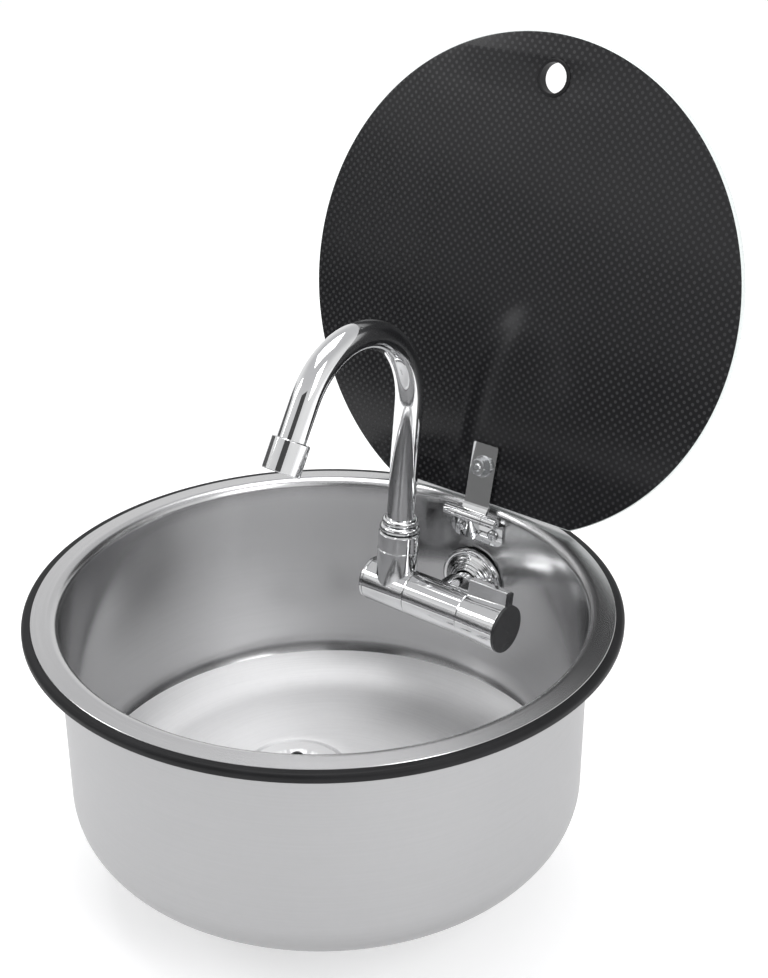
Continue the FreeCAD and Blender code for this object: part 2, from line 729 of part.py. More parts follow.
def tap_back_gasket():
    """Rubber seat behind the wall, hollowed to the outside of the bowl."""
    blank = ring(shank_radius + 0.15, back_washer_radius, wall_out - 2.0,
                 wall_out + back_gasket_thickness, "Y")
    return on_tap(moved(blank, tap_x).cut(wall_cylinder(wall_radius + fit_gap)))


def tap_back_washer():
    low = wall_out + back_gasket_thickness + fit_gap
    washer = ring(shank_radius + 0.15, back_washer_radius, low, low + back_washer_thickness, "Y")
    return on_tap(moved(washer, tap_x))


def tap_backnut():
    low = backnut_seat()
    nut = hexagon(backnut_flats, low, low + backnut_height, "Y")
    nut = nut.cut(rod(shank_radius + fit_gap, low - 1, low + backnut_height + 1, "Y"))
    return on_tap(moved(nut, tap_x))


def valve_cartridge():
    """Quarter turn cartridge: side ports at the gallery and an axial outlet."""
    low = cartridge_left + fit_gap
    high = body_right - gland_height
    section = [(low, waterway), (low, cartridge_radius), (high, cartridge_radius),
               (high, spindle_radius + shaft_clearance), (high - 8.0, spindle_radius + shaft_clearance),
               (high - 8.0, waterway)]
    housing = turned(section, "X")
    port = moved(rod(2.5, -cartridge_radius - 1, cartridge_radius + 1, "Y"), tap_x)
    return on_tap(housing.cut(port))


def valve_gland_nut():
    """Ring screwed into the body that holds the cartridge in."""
    low = body_right - gland_height + fit_gap
    section = [(low, spindle_radius + 1.0), (low, cartridge_radius), (body_right - 1.0, cartridge_radius),
               (body_right - 1.0, spindle_radius + 1.0)]
    gland = turned(section, "X")
    slot = Part.makeBox(2.0, 2 * cartridge_radius, 2.0, Vector(body_right - 2.4, -cartridge_radius, -1.0))
    return on_tap(gland.cut(slot))


# --- folding head -----------------------------------------------------------------------
def tap_head():
    """Barrel that turns on the spigot, with the neck that carries the spout."""
    left = head_left - neck_x
    right = head_right - neck_x
    barrel = turned([(left, 0), (left, body_radius - 0.5), (left + 0.5, body_radius),
                     (right - 0.5, body_radius), (right, body_radius - 0.5), (right, 0)], "X")
    neck = turned([(0, 0), (0, neck_radius), (neck_height - 0.4, neck_radius),
                   (neck_height, neck_radius - 0.4), (neck_height, 0)], "Z")
    head = barrel.fuse(neck)
    spigot_bore = rod(spigot_radius + shaft_clearance, left - 1, right + 1, "X")
    screw_room = rod(spigot_radius + 1.8, left - 1, body_left - spigot_length - neck_x + 1.5, "X")
    spout_bore = rod(neck_bore, neck_bore_floor, neck_height + 1)
    channel = rod(waterway, 0, neck_bore_floor + 1)
    return on_head(head.cut([spigot_bore, screw_room, spout_bore, channel]).removeSplitter())


def head_end_cap():
    """Chrome disc pressed into the end of the head over the fold screw."""
    face = head_left - neck_x - fit_gap
    plug = spigot_radius + 1.7
    outside = face - end_cap_thickness
    section = [(face + 3.0, plug - 1.2), (face + 3.0, plug), (face, plug), (face, end_cap_radius),
               (outside, end_cap_radius), (outside, 0), (face, 0), (face, plug - 1.2)]
    cap = turned(section, "X")
    rims = [edge for edge in cap.Edges
            if abs(edge.CenterOfMass.x - outside) < 1e-6 and edge.Length > 6 * end_cap_radius]
    return on_head(cap.makeFillet(end_cap_edge, rims))


def spout_collar_nut():
    """Collar nut over the neck, whose thread holds the spout's bush down."""
    low = neck_height + fit_gap
    thread_end = neck_height - collar_thread
    section = [
        (thread_end, tube_radius + 0.15), (thread_end, neck_bore - fit_gap),
        (low, neck_bore - fit_gap),
        (low, neck_radius - 0.4), (low + 0.4, neck_radius), (collar_top - 1.0, neck_radius),
        (collar_top, neck_radius - 1.0), (collar_top, tube_radius + 0.15),
    ]
    return on_head(turned(section, "Z"))


# --- spout ------------------------------------------------------------------------------
def spout_path():
    """Middle line of the gooseneck: riser, bend and outlet, in the head's frame."""
    foot = Vector(0, 0, neck_bore_floor + 1.0)
    top = Vector(0, 0, spout_rise)
    sweep = math.radians(spout_sweep)

    def on_bend(angle):
        return Vector(0, -spout_bend + spout_bend * math.cos(angle),
                      spout_rise + spout_bend * math.sin(angle))
    bend = Part.Arc(top, on_bend(sweep / 2), on_bend(sweep)).toShape()
    return foot, top, bend, on_bend(sweep), outlet_direction()


def outlet_direction():
    sweep = math.radians(spout_sweep)
    return Vector(0, -math.sin(sweep), math.cos(sweep))


def outlet_point(distance):
    """Point on the outlet's middle line, measured from the end of the bend."""
    bend_end = spout_path()[3]
    return bend_end + outlet_direction() * distance


def bent_rod(radius, end_distance):
    foot, top, bend, bend_end, direction = spout_path()
    riser = Part.makeLine(foot, top)
    outlet = Part.makeLine(bend_end, bend_end + direction * end_distance)
    path = Part.Wire([riser, bend, outlet])
    circle = Part.Wire(Part.makeCircle(radius, foot, AXIS_Z))
    return path.makePipeShell([circle], True, False)


def spout_tube():
    """Gooseneck tube."""
    outside = bent_rod(tube_radius, spout_drop - 4.0)
    inside = bent_rod(tube_radius - tube_wall, spout_drop - 4.0)
    return on_head(outside.cut(inside))


def spout_bush():
    """Bush brazed on the foot of the tube, with a groove for its rubber ring."""
    low = neck_bore_floor + 1.0
    inner = tube_radius + fit_gap / 2
    outer = neck_bore - shaft_clearance
    high = neck_height - collar_thread - running_gap
    section = [(low, inner), (low, outer), (low + 3.6, outer), (low + 3.6, outer - 0.9),
               (low + 6.2, outer - 0.9), (low + 6.2, outer), (high, outer), (high, inner)]
    return on_head(turned(section, "Z"))


def spout_o_ring():
    low = neck_bore_floor + 1.0
    outer = neck_bore - shaft_clearance
    return on_head(ring(outer - 0.9 + fit_gap / 2, outer, low + 3.9, low + 5.9))


def spout_beads():
    """Two rounded rings that cover the joint between collar nut and tube."""
    low = collar_top + 0.3
    middle = low + lower_bead_height
    inner = tube_radius + fit_gap / 2
    lower = bead(inner, lower_bead_radius, low, middle)
    upper = bead(inner, upper_bead_radius, middle, middle + upper_bead_height)
    return on_head(lower.fuse(upper).removeSplitter())


def bead(inner, outer, low, high):
    half = (high - low) / 2
    middle = (low + high) / 2
    belly = half * 0.75
    edges = [
        line(Vector(inner, 0, low), Vector(outer - belly, 0, low)),
        Part.Arc(Vector(outer - belly, 0, low), Vector(outer, 0, middle),
                 Vector(outer - belly, 0, high)).toShape(),
        line(Vector(outer - belly, 0, high), Vector(inner, 0, high)),
        line(Vector(inner, 0, high), Vector(inner, 0, low)),
    ]
    return joined(edges).revolve(ORIGIN, AXIS_Z, 360)


def on_outlet(shape):
    """From a frame with the outlet's flow along -Z and its mouth at the origin."""
    copy = shape.copy()
    copy.rotate(ORIGIN, AXIS_X, -(180 - spout_sweep))
    mouth = outlet_point(spout_drop)
    return on_head(moved(copy, mouth.x, mouth.y, mouth.z))


def aerator_housing():
    """Chrome sleeve screwed over the end of the tube."""
    top = aerator_length
    section = [
        (0, aerator_radius - 2.0), (0, aerator_radius - 0.5), (0.5, aerator_radius),
        (top - 0.6, aerator_radius), (top, aerator_radius - 0.6), (top, tube_radius + fit_gap),
        (3.6, tube_radius + fit_gap), (3.6, tube_radius - 0.3), (1.0, tube_radius - 0.3),
        (1.0, aerator_radius - 2.7), (0, aerator_radius - 2.7),
    ]
    return on_outlet(turned(section, "Z"))


def aerator_insert():
    """Plastic jet former with a ring of slots."""
    radius = tube_radius - 0.3 - fit_gap
    body = rod(radius, 1.05, 3.4)
    slots = [rod(1.5, 0, 4)]
    for index in range(8):
        angle = math.radians(45 * index)
        slots.append(moved(rod(1.3, 0, 4), 5.2 * math.cos(angle), 5.2 * math.sin(angle)))
    return on_outlet(body.cut(slots))


# --- knob -------------------------------------------------------------------------------
def fin_outline(x, round_radius, shrink=0.0):
    """Round outline with a straight sided thumb fin that is filleted into the round."""
    radius = round_radius - shrink
    half = fin_width / 2 - shrink
    tip = fin_radius - shrink
    fillet = fin_fillet + shrink
    foot = math.asin((half + fillet) / (radius + fillet))
    neck = (radius + fillet) * math.cos(foot)
    shoulder = tip - fin_corner

    def side_edges(side):
        """Fillet, flank and rounded corner on one side, from the round up to the top."""
        def at(y, z):
            return Vector(x, side * y, z)
        turn = (math.pi / 2 - foot) / 2
        middle = at(half + fillet - fillet * math.cos(turn), neck - fillet * math.sin(turn))
        corner = half - fin_corner
        crown = at(corner + fin_corner * math.sin(math.pi / 4),
                   shoulder + fin_corner * math.sin(math.pi / 4))
        return [
            Part.Arc(at(radius * math.sin(foot), radius * math.cos(foot)), middle,
                     at(half, neck)).toShape(),
            line(at(half, neck), at(half, shoulder)),
            Part.Arc(at(half, shoulder), crown, at(corner, tip)).toShape(),
        ]
    front = side_edges(-1)
    back = side_edges(1)
    top = line(end_of(front[-1]), end_of(back[-1]))
    round_edge = Part.Arc(start_of(back[0]), Vector(x, 0, -radius), start_of(front[0])).toShape()
    return Part.Wire(front + [top] + back[::-1] + [round_edge])


def on_knob(shape):
    copy = shape.copy()
    copy.rotate(ORIGIN, AXIS_X, -fin_tilt)
    return on_tap(copy)


def knob_body():
    """Chrome knob: a flaring round with a thumb fin, hollow behind and hubbed on the spindle."""
    outside = Part.makeLoft([fin_outline(knob_left, knob_left_radius),
                             fin_outline(knob_right, knob_right_radius)], True, True)
    hollow = turned([(knob_left - 1, 0), (knob_left - 1, knob_left_radius - knob_shell),
                     (knob_right - 4.0, knob_left_radius - knob_shell), (knob_right - 4.0, 0)], "X")
    hub = rod(spindle_radius + 2.4, knob_left + 1.0, knob_right - 3.0, "X")
    socket = rod(spindle_radius + fit_gap, knob_left, spindle_reach + 0.3, "X")
    screw_bore = rod(knob_screw_radius + fit_gap, spindle_reach, knob_right + 1, "X")
    head_room = rod(4.2, knob_right - 4.0, knob_right + 1, "X")
    return on_knob(outside.cut(hollow).fuse(hub).cut([socket, screw_bore, head_room]).removeSplitter())


def knob_cap():
    """Black end plate with the knob's own outline."""
    face = knob_right + fit_gap
    plate = Part.Face(fin_outline(face, knob_right_radius, 0.35)).extrude(AXIS_X * knob_cap_thickness)
    plug = rod(4.1, knob_right - 0.9, face + 0.5, "X")
    return on_knob(plate.fuse(plug).removeSplitter())


def valve_spindle():
    """Spindle of the cartridge, turned by the knob."""
    low = body_right - gland_height - 7.7
    thread_end = spindle_reach - knob_screw_depth
    section = [(low, 0), (low, spindle_radius), (spindle_reach, spindle_radius),
               (spindle_reach, knob_screw_radius), (thread_end, knob_screw_radius),
               (thread_end, 0)]
    return on_knob(turned(section, "X"))


def knob_screw():
    """Screw that draws the knob onto the spindle, hidden by the cap."""
    seat = knob_right - 4.0 + fit_gap
    tip = spindle_reach - knob_screw_depth + 0.5
    section = [(tip, 0), (tip, knob_screw_radius - fit_gap),
               (seat, knob_screw_radius - fit_gap), (seat, 3.8), (seat + 2.2, 3.6), (seat + 2.6, 2.8),
               (seat + 2.6, 0)]
    return on_knob(turned(section, "X"))


SUB_PARTS = {
    "basin": basin,
    "rim_seal": rim_seal,
    "waste_strainer": waste_strainer,
    "waste_upper_seal": waste_upper_seal,
    "waste_lower_seal": waste_lower_seal,
    "waste_cup": waste_cup,
    "waste_screw": waste_screw,
    "hinge_base_leaf": hinge_base_leaf,
    "hinge_base_screws": hinge_base_screws,
    "hinge_base_nuts": hinge_base_nuts,
    "hinge_pin": hinge_pin,
    "hinge_lid_strap": hinge_lid_strap,
    "lid_glass": lid_glass,
    "lid_finger_grommet": lid_finger_grommet,
    "lid_pads": lid_pads,
    "lid_back_washer": lid_back_washer,
    "lid_bolt": lid_bolt,
    "lid_front_washer": lid_front_washer,
    "lid_nut": lid_nut,
    "tap_body": tap_body,
    "fold_o_rings": fold_o_rings,
    "fold_screw": fold_screw,
    "tap_shank": tap_shank,
    "tap_wall_flange": tap_wall_flange,
    "tap_wall_gasket": tap_wall_gasket,
    "tap_back_gasket": tap_back_gasket,
    "tap_back_washer": tap_back_washer,
    "tap_backnut": tap_backnut,
    "valve_cartridge": valve_cartridge,
    "valve_gland_nut": valve_gland_nut,
    "tap_head": tap_head,
    "head_end_cap": head_end_cap,
    "spout_collar_nut": spout_collar_nut,
    "spout_tube": spout_tube,
    "spout_bush": spout_bush,
    "spout_o_ring": spout_o_ring,
    "spout_beads": spout_beads,
    "aerator_housing": aerator_housing,
    "aerator_insert": aerator_insert,
    "knob_body": knob_body,
    "knob_cap": knob_cap,
    "valve_spindle": valve_spindle,
    "knob_screw": knob_screw,
}

os.makedirs("parts", exist_ok=True)
for name, make in SUB_PARTS.items():
    shape = make()
    shape.exportStep(os.path.join("parts", name + ".step"))
    print(name, len(shape.Solids), round(shape.Volume, 1), shape.isValid())
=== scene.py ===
# %% [markdown]
# # A round caravan sink with a glass lid
# The solids of this sink come from CAD, already in place and in metres. Blender's work is what
# they look like: smooth skins for the pieces that reflect like mirrors, threads that CAD leaves
# plain, and a finish for every piece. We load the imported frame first, because each piece below
# rides on one of its bodies and so follows the hinge, the folding tap, the spout and the knob.

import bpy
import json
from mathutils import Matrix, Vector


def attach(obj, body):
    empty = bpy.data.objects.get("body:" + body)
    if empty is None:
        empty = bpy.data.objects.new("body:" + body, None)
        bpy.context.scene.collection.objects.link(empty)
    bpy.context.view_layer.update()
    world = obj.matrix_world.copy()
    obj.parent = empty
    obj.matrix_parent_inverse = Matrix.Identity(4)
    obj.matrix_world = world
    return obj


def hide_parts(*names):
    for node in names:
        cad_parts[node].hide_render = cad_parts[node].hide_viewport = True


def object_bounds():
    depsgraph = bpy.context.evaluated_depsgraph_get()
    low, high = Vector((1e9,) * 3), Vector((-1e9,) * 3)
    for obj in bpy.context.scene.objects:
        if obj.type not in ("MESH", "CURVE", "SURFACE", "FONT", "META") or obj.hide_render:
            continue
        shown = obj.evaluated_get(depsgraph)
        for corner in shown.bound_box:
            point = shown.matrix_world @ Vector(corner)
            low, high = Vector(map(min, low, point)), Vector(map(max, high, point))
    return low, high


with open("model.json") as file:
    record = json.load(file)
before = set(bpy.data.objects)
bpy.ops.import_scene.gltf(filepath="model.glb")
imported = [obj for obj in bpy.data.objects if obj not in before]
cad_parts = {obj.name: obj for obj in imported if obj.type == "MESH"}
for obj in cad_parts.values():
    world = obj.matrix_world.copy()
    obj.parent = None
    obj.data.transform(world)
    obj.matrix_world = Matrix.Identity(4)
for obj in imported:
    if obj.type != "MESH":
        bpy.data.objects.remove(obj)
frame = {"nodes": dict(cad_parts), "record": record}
cad_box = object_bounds()

# %% Libraries and the home of each node
import json
import math

import bmesh
import bpy
from mathutils import Matrix, Vector

BODY_OF = {}
for body_name, members in frame["record"]["behaviour"]["bodies"].items():
    for member in members:
        BODY_OF[member] = body_name
print("the spout holds:", [n for n, b in BODY_OF.items() if b == "spout"])

# %% [markdown]
# ## Sizes
# The skins have to lie where the solids are, so they use the same driving sizes, in millimetres,
# and `MM` turns them into metres at the last moment. Writing the numbers once, with the pieces'
# own names, makes it easy to see which piece a number belongs to. Only the rim's slope and bend
# differ from the solid's, as the cell on the bowl says.

# %% Sizes of the pieces that get a new skin
MM = 0.001
RIM_RADIUS, FLOOR_TOP, SHEET = 170.0, -141.75, 0.8
WALL_INNER, RIM_BEND, FLOOR_BEND = 154.6, 5.5, 31.4
RIM_SLOPE = math.radians(4.0)
SEAL_THICKNESS, SEAL_REACH, SEAL_FOOT = 4.7, 5.2, 10.0
WASTE = Vector((-37.0, 11.0, 0.0))
RECESS_RADIUS, RECESS_DEPTH, RECESS_HOLE = 34.0, 2.2, 22.0
BOLT_REACH, BOLT_HOLE = 33.2, 4.4
FINGER_X, FINGER_REACH, FINGER_HOLE = 5.5, 130.5, 10.6
LID_LEAN, LID_RADIUS, LID_REACH, LID_CHORD = math.radians(13.2), 157.0, 149.3, 139.8
GLASS_NEAR, GLASS, GLASS_EDGE = 6.75, 5.0, 1.0
HINGE = Vector((2.2, 144.2, 1.0))
TAP = Vector((-0.8, 114.9, -51.8))
HEAD_LEAN, NECK_X = math.radians(6.0), -36.8
TUBE_RADIUS, SPOUT_RISE, SPOUT_BEND = 9.2, 128.6, 54.5
SPOUT_SWEEP, SPOUT_DROP = math.radians(154.6), 43.2
SPOUT_FOOT, OUTLET_LAP = 13.0, 4.0
SHANK_RADIUS, SHANK_END, SHANK_BORE = 10.4, 78.0, 5.0
BARREL_RADIUS, NECK_RADIUS, BOSS_RADIUS, CAP_RADIUS = 14.5, 13.7, 11.8, 14.9
RIM_TOP = SEAL_THICKNESS + SHEET / math.cos(RIM_SLOPE)
BEND_R = WALL_INNER + RIM_BEND
BEND_Z = (RIM_TOP + (RIM_RADIUS - BEND_R - RIM_BEND * math.sin(RIM_SLOPE)) * math.tan(RIM_SLOPE)
          - RIM_BEND * math.cos(RIM_SLOPE))
print("the rim's crest is", round(BEND_Z + RIM_BEND, 2), "mm above the worktop")

# %% [markdown]
# ## Shader maths that reads like sums
# A shader node tree is a formula drawn with wires. Drawing it by hand in a script takes three
# lines a node, so we wrap a socket in a small class: `a * b + 1` then adds the Math nodes for
# us. One method, `node`, makes every other kind of node.

# %% The Wire class
class Wire:
    """An output socket that can stand in sums and products."""

    def __init__(self, socket):
        self.socket = socket

    def node(self, kind, values=None, output=0, stops=None, **settings):
        """Adds a node: its settings first, then the values or links of its sockets."""
        tree = self.socket.id_data
        made = tree.nodes.new(kind)
        for name, setting in settings.items():
            setattr(made, name, setting)
        for index, (position, colour) in enumerate(stops or []):
            elements = made.color_ramp.elements
            element = elements[index] if index < 2 else elements.new(position)
            element.position = position
            element.color = colour
        for key, value in (values or {}).items():
            if isinstance(value, Wire):
                tree.links.new(value.socket, made.inputs[key])
            else:
                made.inputs[key].default_value = value
        return Wire(made.outputs[output])

    def maths(self, operation, *values):
        return self.node("ShaderNodeMath", dict(enumerate(values)), operation=operation)

    def __add__(self, other):
        return self.maths("ADD", self, other)

    def __radd__(self, other):
        return self.maths("ADD", other, self)

    def __sub__(self, other):
        return self.maths("SUBTRACT", self, other)

    def __rsub__(self, other):
        return self.maths("SUBTRACT", other, self)

    def __mul__(self, other):
        return self.maths("MULTIPLY", self, other)

    def __rmul__(self, other):
        return self.maths("MULTIPLY", other, self)

    def __truediv__(self, other):
        return self.maths("DIVIDE", self, other)

    def __rtruediv__(self, other):
        return self.maths("DIVIDE", other, self)

    def __pow__(self, other):
        return self.maths("POWER", self, other)

    def floor(self):
        return self.maths("FLOOR", self)

    def between(self, low, high):
        """0 below low, 1 above high and a smooth step between them."""
        return self.node("ShaderNodeMapRange", {"Value": self, "From Min": low, "From Max": high},
                         interpolation_type="SMOOTHSTEP")

    def split(self):
        """The three numbers of a vector."""
        first = self.node("ShaderNodeSeparateXYZ", {0: self})
        return [Wire(output) for output in first.socket.node.outputs]

    def noise(self, scale, detail=2.0, roughness=0.5):
        """Noise from 0 to 1 over this vector."""
        return self.node("ShaderNodeTexNoise", {"Vector": self, "Scale": scale, "Detail": detail,
                                                "Roughness": roughness})

    def mix(self, first, second):
        """Colour that runs from first to second with this mask."""
        return self.node("ShaderNodeMix", {0: self, 6: first, 7: second}, output=2,
                         data_type="RGBA")

    def bump(self, strength, distance):
        """Normal that follows this height."""
        return self.node("ShaderNodeBump", {"Height": self, "Strength": strength,
                                            "Distance": distance})


print("operators:", [name for name in dir(Wire) if name.startswith("__r")][:4])

# %% [markdown]
# ## A finish from a few sentences
# Each finish is a Principled shader. What is the same all over, such as how metallic it is, is
# typed on the shader's own socket. What changes over the surface is a Wire. `place` gives the
# object coordinates in metres: since every piece keeps its origin at the frame's origin, they
# are also the place on the sink, and a brushed line can follow the bowl's own axis.

# %% Helpers that make a finish
def new_finish(name, **constants):
    material = bpy.data.materials.new(name)
    material.use_nodes = True
    shader = material.node_tree.nodes["Principled BSDF"]
    for key, value in constants.items():
        shader.inputs[key.replace("_", " ")].default_value = value
    return material


def place(material):
    node = material.node_tree.nodes.new("ShaderNodeTexCoord")
    return Wire(node.outputs["Object"])


def feed(material, **wires):
    shader = material.node_tree.nodes["Principled BSDF"]
    for key, wire in wires.items():
        material.node_tree.links.new(wire.socket, shader.inputs[key.replace("_", " ")])
    print("finish:", material.name, "with", len(material.node_tree.nodes), "nodes")
    return material


def vector(wire, x, y, z):
    return wire.node("ShaderNodeCombineXYZ", {0: x, 1: y, 2: z})


def around(spot):
    """Distance from the bowl's axis, angle about it, and height."""
    x, y, z = spot.split()
    reach = (x * x + y * y) ** 0.5
    return reach, y.maths("ARCTAN2", y, x), z


# %% [markdown]
# ## Drawn and brushed stainless steel
# The bowl is pressed from one sheet and then brushed while it turns, so its fine lines run round
# the axis. Stretching a noise does this: almost no change with the angle, and a fast change with
# radius and height. Lines too fine to see still pull every reflection out across them, which is
# what Anisotropic does; without a tangent of its own the shader takes the direction about Z, so
# a quarter turn points it across the lines. Outside, wall, floor and rim share one function, but
# not one tone: the floor's much lighter tone is painted light, and the outside's darker tone is
# painted shade.

# %% Stainless steel
def steel_finish(name, tone, rough, streak, line_depth, pull=0.0):
    """Brushed steel; pull stretches its reflections across the brushed lines."""
    material = new_finish(name, Metallic=1.0, Anisotropic=pull, Anisotropic_Rotation=0.25)
    spot = place(material)
    reach, angle, height = around(spot)
    lines = vector(spot, angle * 2.5, reach * 900.0, height * 900.0).noise(1.0, 3.0, 0.6)
    clouds = spot.noise(7.0, 2.0)
    fine = spot.noise(240.0, 2.0)
    light = [min(1.0, c * 1.03) for c in tone] + [1.0]
    dark = [c * 0.97 for c in tone] + [1.0]
    shade = lines * 0.5 + clouds * 0.35 + fine * 0.15
    gloss = rough + (clouds - 0.5) * 0.06 + (lines - 0.5) * streak
    return feed(material, Base_Color=shade.between(0.3, 0.7).mix(dark, light), Roughness=gloss,
                Normal=(lines * 0.7 + fine * 0.3).bump(line_depth, 0.00012))


# One steel in four tones: the floor's lighter tone is painted light, the outside's darker tone is
# painted shade.
steel_outside_painted_shade = steel_finish("satin_steel_outside_painted_shade", (0.41, 0.41, 0.415), 0.44, 0.05, 0.05, 0.3)
steel_inside = steel_finish("drawn_steel_wall", (0.52, 0.52, 0.525), 0.18, 0.03, 0.012, 0.65)
steel_floor_painted_light = steel_finish("satin_steel_floor_painted_light", (0.86, 0.86, 0.865), 0.62, 0.03, 0.03)
steel_rim = steel_finish("brushed_steel_rim", (0.63, 0.63, 0.635), 0.25, 0.05, 0.03, 0.3)

# %% [markdown]
# ## Chrome, brass and zinc
# Chrome is nearly a perfect mirror, and a mirror looks like plastic when it is too clean. A weak
# cloud of fingerprints changes its roughness, and a very low ripple bends the reflections as
# real plating does. Brass and zinc are the same recipe with another colour and more grain.

# %% Plated and turned metals
def metal_finish(name, tone, rough, smudge, ripple, grain):
    material = new_finish(name, Metallic=1.0)
    spot = place(material)
    clouds = spot.noise(38.0, 4.0, 0.6)
    grains = spot.noise(1400.0, 2.0)
    waves = spot.noise(60.0, 1.0)
    light = list(tone) + [1.0]
    dark = [c * 0.94 for c in tone] + [1.0]
    gloss = rough + clouds.between(0.42, 0.75) * smudge + (grains - 0.5) * grain
    return feed(material, Base_Color=clouds.between(0.35, 0.65).mix(light, dark), Roughness=gloss,
                Normal=(waves * 0.8 + grains * 0.2 * grain).bump(ripple, 0.0004))


RING_PITCH = 2.1             # from one fine ring of the flange to the next


def ringed_finish(name):
    """Chrome with the fine rings that a lathe leaves round the tap's shank."""
    material = new_finish(name, Metallic=1.0)
    spot = place(material)
    x, y, z = spot.split()
    across, above = x - TAP.x * MM, z - TAP.z * MM
    reach = (across * across + above * above) ** 0.5
    turns = reach * (2 * math.pi / (RING_PITCH * MM))
    rings = turns.maths("SINE", turns)
    clouds = spot.noise(38.0, 4.0, 0.6)
    tone = clouds.mix((0.84, 0.845, 0.85, 1.0), (0.78, 0.785, 0.79, 1.0))
    return feed(material, Base_Color=tone, Roughness=0.07 + clouds * 0.08,
                Normal=rings.bump(0.35, 0.00025))


ringed_chrome = ringed_finish("ringed_chrome")
chrome = metal_finish("polished_chrome", (0.82, 0.825, 0.83), 0.035, 0.07, 0.02, 0.01)
brass = metal_finish("turned_brass", (0.72, 0.55, 0.27), 0.24, 0.12, 0.05, 0.15)
zinc = metal_finish("zinc_plate", (0.66, 0.67, 0.68), 0.20, 0.14, 0.06, 0.12)

# %% [markdown]
# ## Rubber and plastics
# Rubber is dark and hardly shines, with a fine grain from its mould. The knob's cap is a smooth
# black plastic, the waste cup a duller one, and the jet former is white. A plastic's colour is
# even, so most of what the eye reads is the small change in gloss.

# %% Rubber and plastics
def soft_finish(name, tone, rough, grain_size, grain, sheen):
    material = new_finish(name, Metallic=0.0, Specular_IOR_Level=sheen)
    spot = place(material)
    clouds = spot.noise(45.0, 3.0)
    grains = spot.noise(grain_size, 3.0)
    light = [c * 1.25 for c in tone] + [1.0]
    dark = [c * 0.8 for c in tone] + [1.0]
    shade = (clouds * 0.7 + grains * 0.3).between(0.35, 0.65)
    return feed(material, Base_Color=shade.mix(dark, light),
                Roughness=rough + (clouds - 0.5) * 0.12 + (grains - 0.5) * 0.08,
                Normal=grains.bump(grain, 0.0001))


rubber = soft_finish("moulded_rubber", (0.009, 0.009, 0.010), 0.50, 1500.0, 0.2, 0.2)
cap_black = soft_finish("black_cap_plastic", (0.03, 0.03, 0.032), 0.16, 900.0, 0.05, 0.5)
cup_black = soft_finish("black_moulded_plastic", (0.012, 0.012, 0.013), 0.42, 1100.0, 0.12, 0.4)
white_plastic = soft_finish("white_moulded_plastic", (0.66, 0.66, 0.64), 0.38, 1100.0, 0.12, 0.5)

# %% [markdown]
# ## Black glass with a grid of dots
# The lid is safety glass printed black on its back, with small grey dots in staggered rows. The
# dots are a rule, not a picture: measure the distance to the nearest point of a grid. A Mapping
# node first lays the pattern on the leaning pane. Near the cut edge the print stops, and the
# ground glass shows as a pale line.

# %% Printed glass
DOT_PITCH = 5.6
DOT_RADIUS = 1.15


def dot_rows(across, along, shift):
    """Distance in millimetres to the nearest point of a square grid."""
    x = across / (DOT_PITCH * MM) + shift
    y = along / (DOT_PITCH * MM) + shift
    near_x = x - (x + 0.5).floor()
    near_y = y - (y + 0.5).floor()
    return (near_x * near_x + near_y * near_y) ** 0.5 * DOT_PITCH


def pane_finish():
    material = new_finish("printed_black_glass", Metallic=0.0, IOR=1.5, Specular_IOR_Level=0.32)
    spot = place(material)
    turn = spot.node("ShaderNodeMapping", {"Vector": spot, "Rotation": (LID_LEAN, 0.0, 0.0)})
    across, depth, along = turn.split()
    corners, middles = dot_rows(across, along, 0.0), dot_rows(across, along, 0.5)
    nearest = corners.maths("MINIMUM", corners, middles)
    dot = 1.0 - nearest.between(DOT_RADIUS * 0.75, DOT_RADIUS * 1.15)
    clouds = spot.noise(26.0, 3.0)
    dark = clouds.mix((0.008, 0.008, 0.009, 1.0), (0.012, 0.012, 0.013, 1.0))
    printed = dot * (0.75 + clouds * 0.5)
    colour = printed.mix(dark, (0.028, 0.028, 0.030, 1.0))
    return feed(material, Base_Color=colour, Roughness=0.13 + clouds * 0.05 + dot * 0.14,
                Normal=dot.bump(0.06, 0.0001))


def edge_finish():
    material = new_finish("ground_glass_edge", Metallic=0.0, IOR=1.5)
    spot = place(material)
    grains = spot.noise(700.0, 3.0)
    return feed(material, Base_Color=grains.mix((0.62, 0.66, 0.65, 1.0), (0.80, 0.84, 0.83, 1.0)),
                Roughness=0.22 + grains * 0.15, Normal=grains.bump(0.1, 0.0001))


pane_black = pane_finish()
pane_edge = edge_finish()

# %% [markdown] ## Skins from the solids Most pieces already have the right shape, but a packed
# mesh is loose triangles and looks faceted in a mirror. The solid itself stays as it is. We copy
# its mesh, merge the corners, join flat triangles, round the sharp edges a little with a Bevel,
# and let Weighted Normal keep flat faces flat. On the tap's barrels even that shows in a mirror,
# so `true_rounds` points their normals straight out from the axis.

# %% A skin for a node
SKINS = {}


def shade_smooth(mesh, angle):
    for polygon in mesh.polygons:
        polygon.use_smooth = True
    mesh.set_sharp_from_angle(angle=math.radians(angle))


def finish_mesh(name, mesh, material, body, nodes=()):
    """Links a mesh as a piece that rides on a body and stands for some nodes."""
    mesh.name = name
    for index, item in enumerate(material if isinstance(material, list) else [material]):
        if index < len(mesh.materials):
            mesh.materials[index] = item
        else:
            mesh.materials.append(item)
    piece = bpy.data.objects.new(name, mesh)
    bpy.context.scene.collection.objects.link(piece)
    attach(piece, body)
    if nodes:
        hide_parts(*nodes)
    SKINS[name] = piece
    return piece


def baked(piece):
    """The evaluated piece as a plain mesh."""
    graph = bpy.context.evaluated_depsgraph_get()
    graph.update()
    return bpy.data.meshes.new_from_object(piece.evaluated_get(graph))


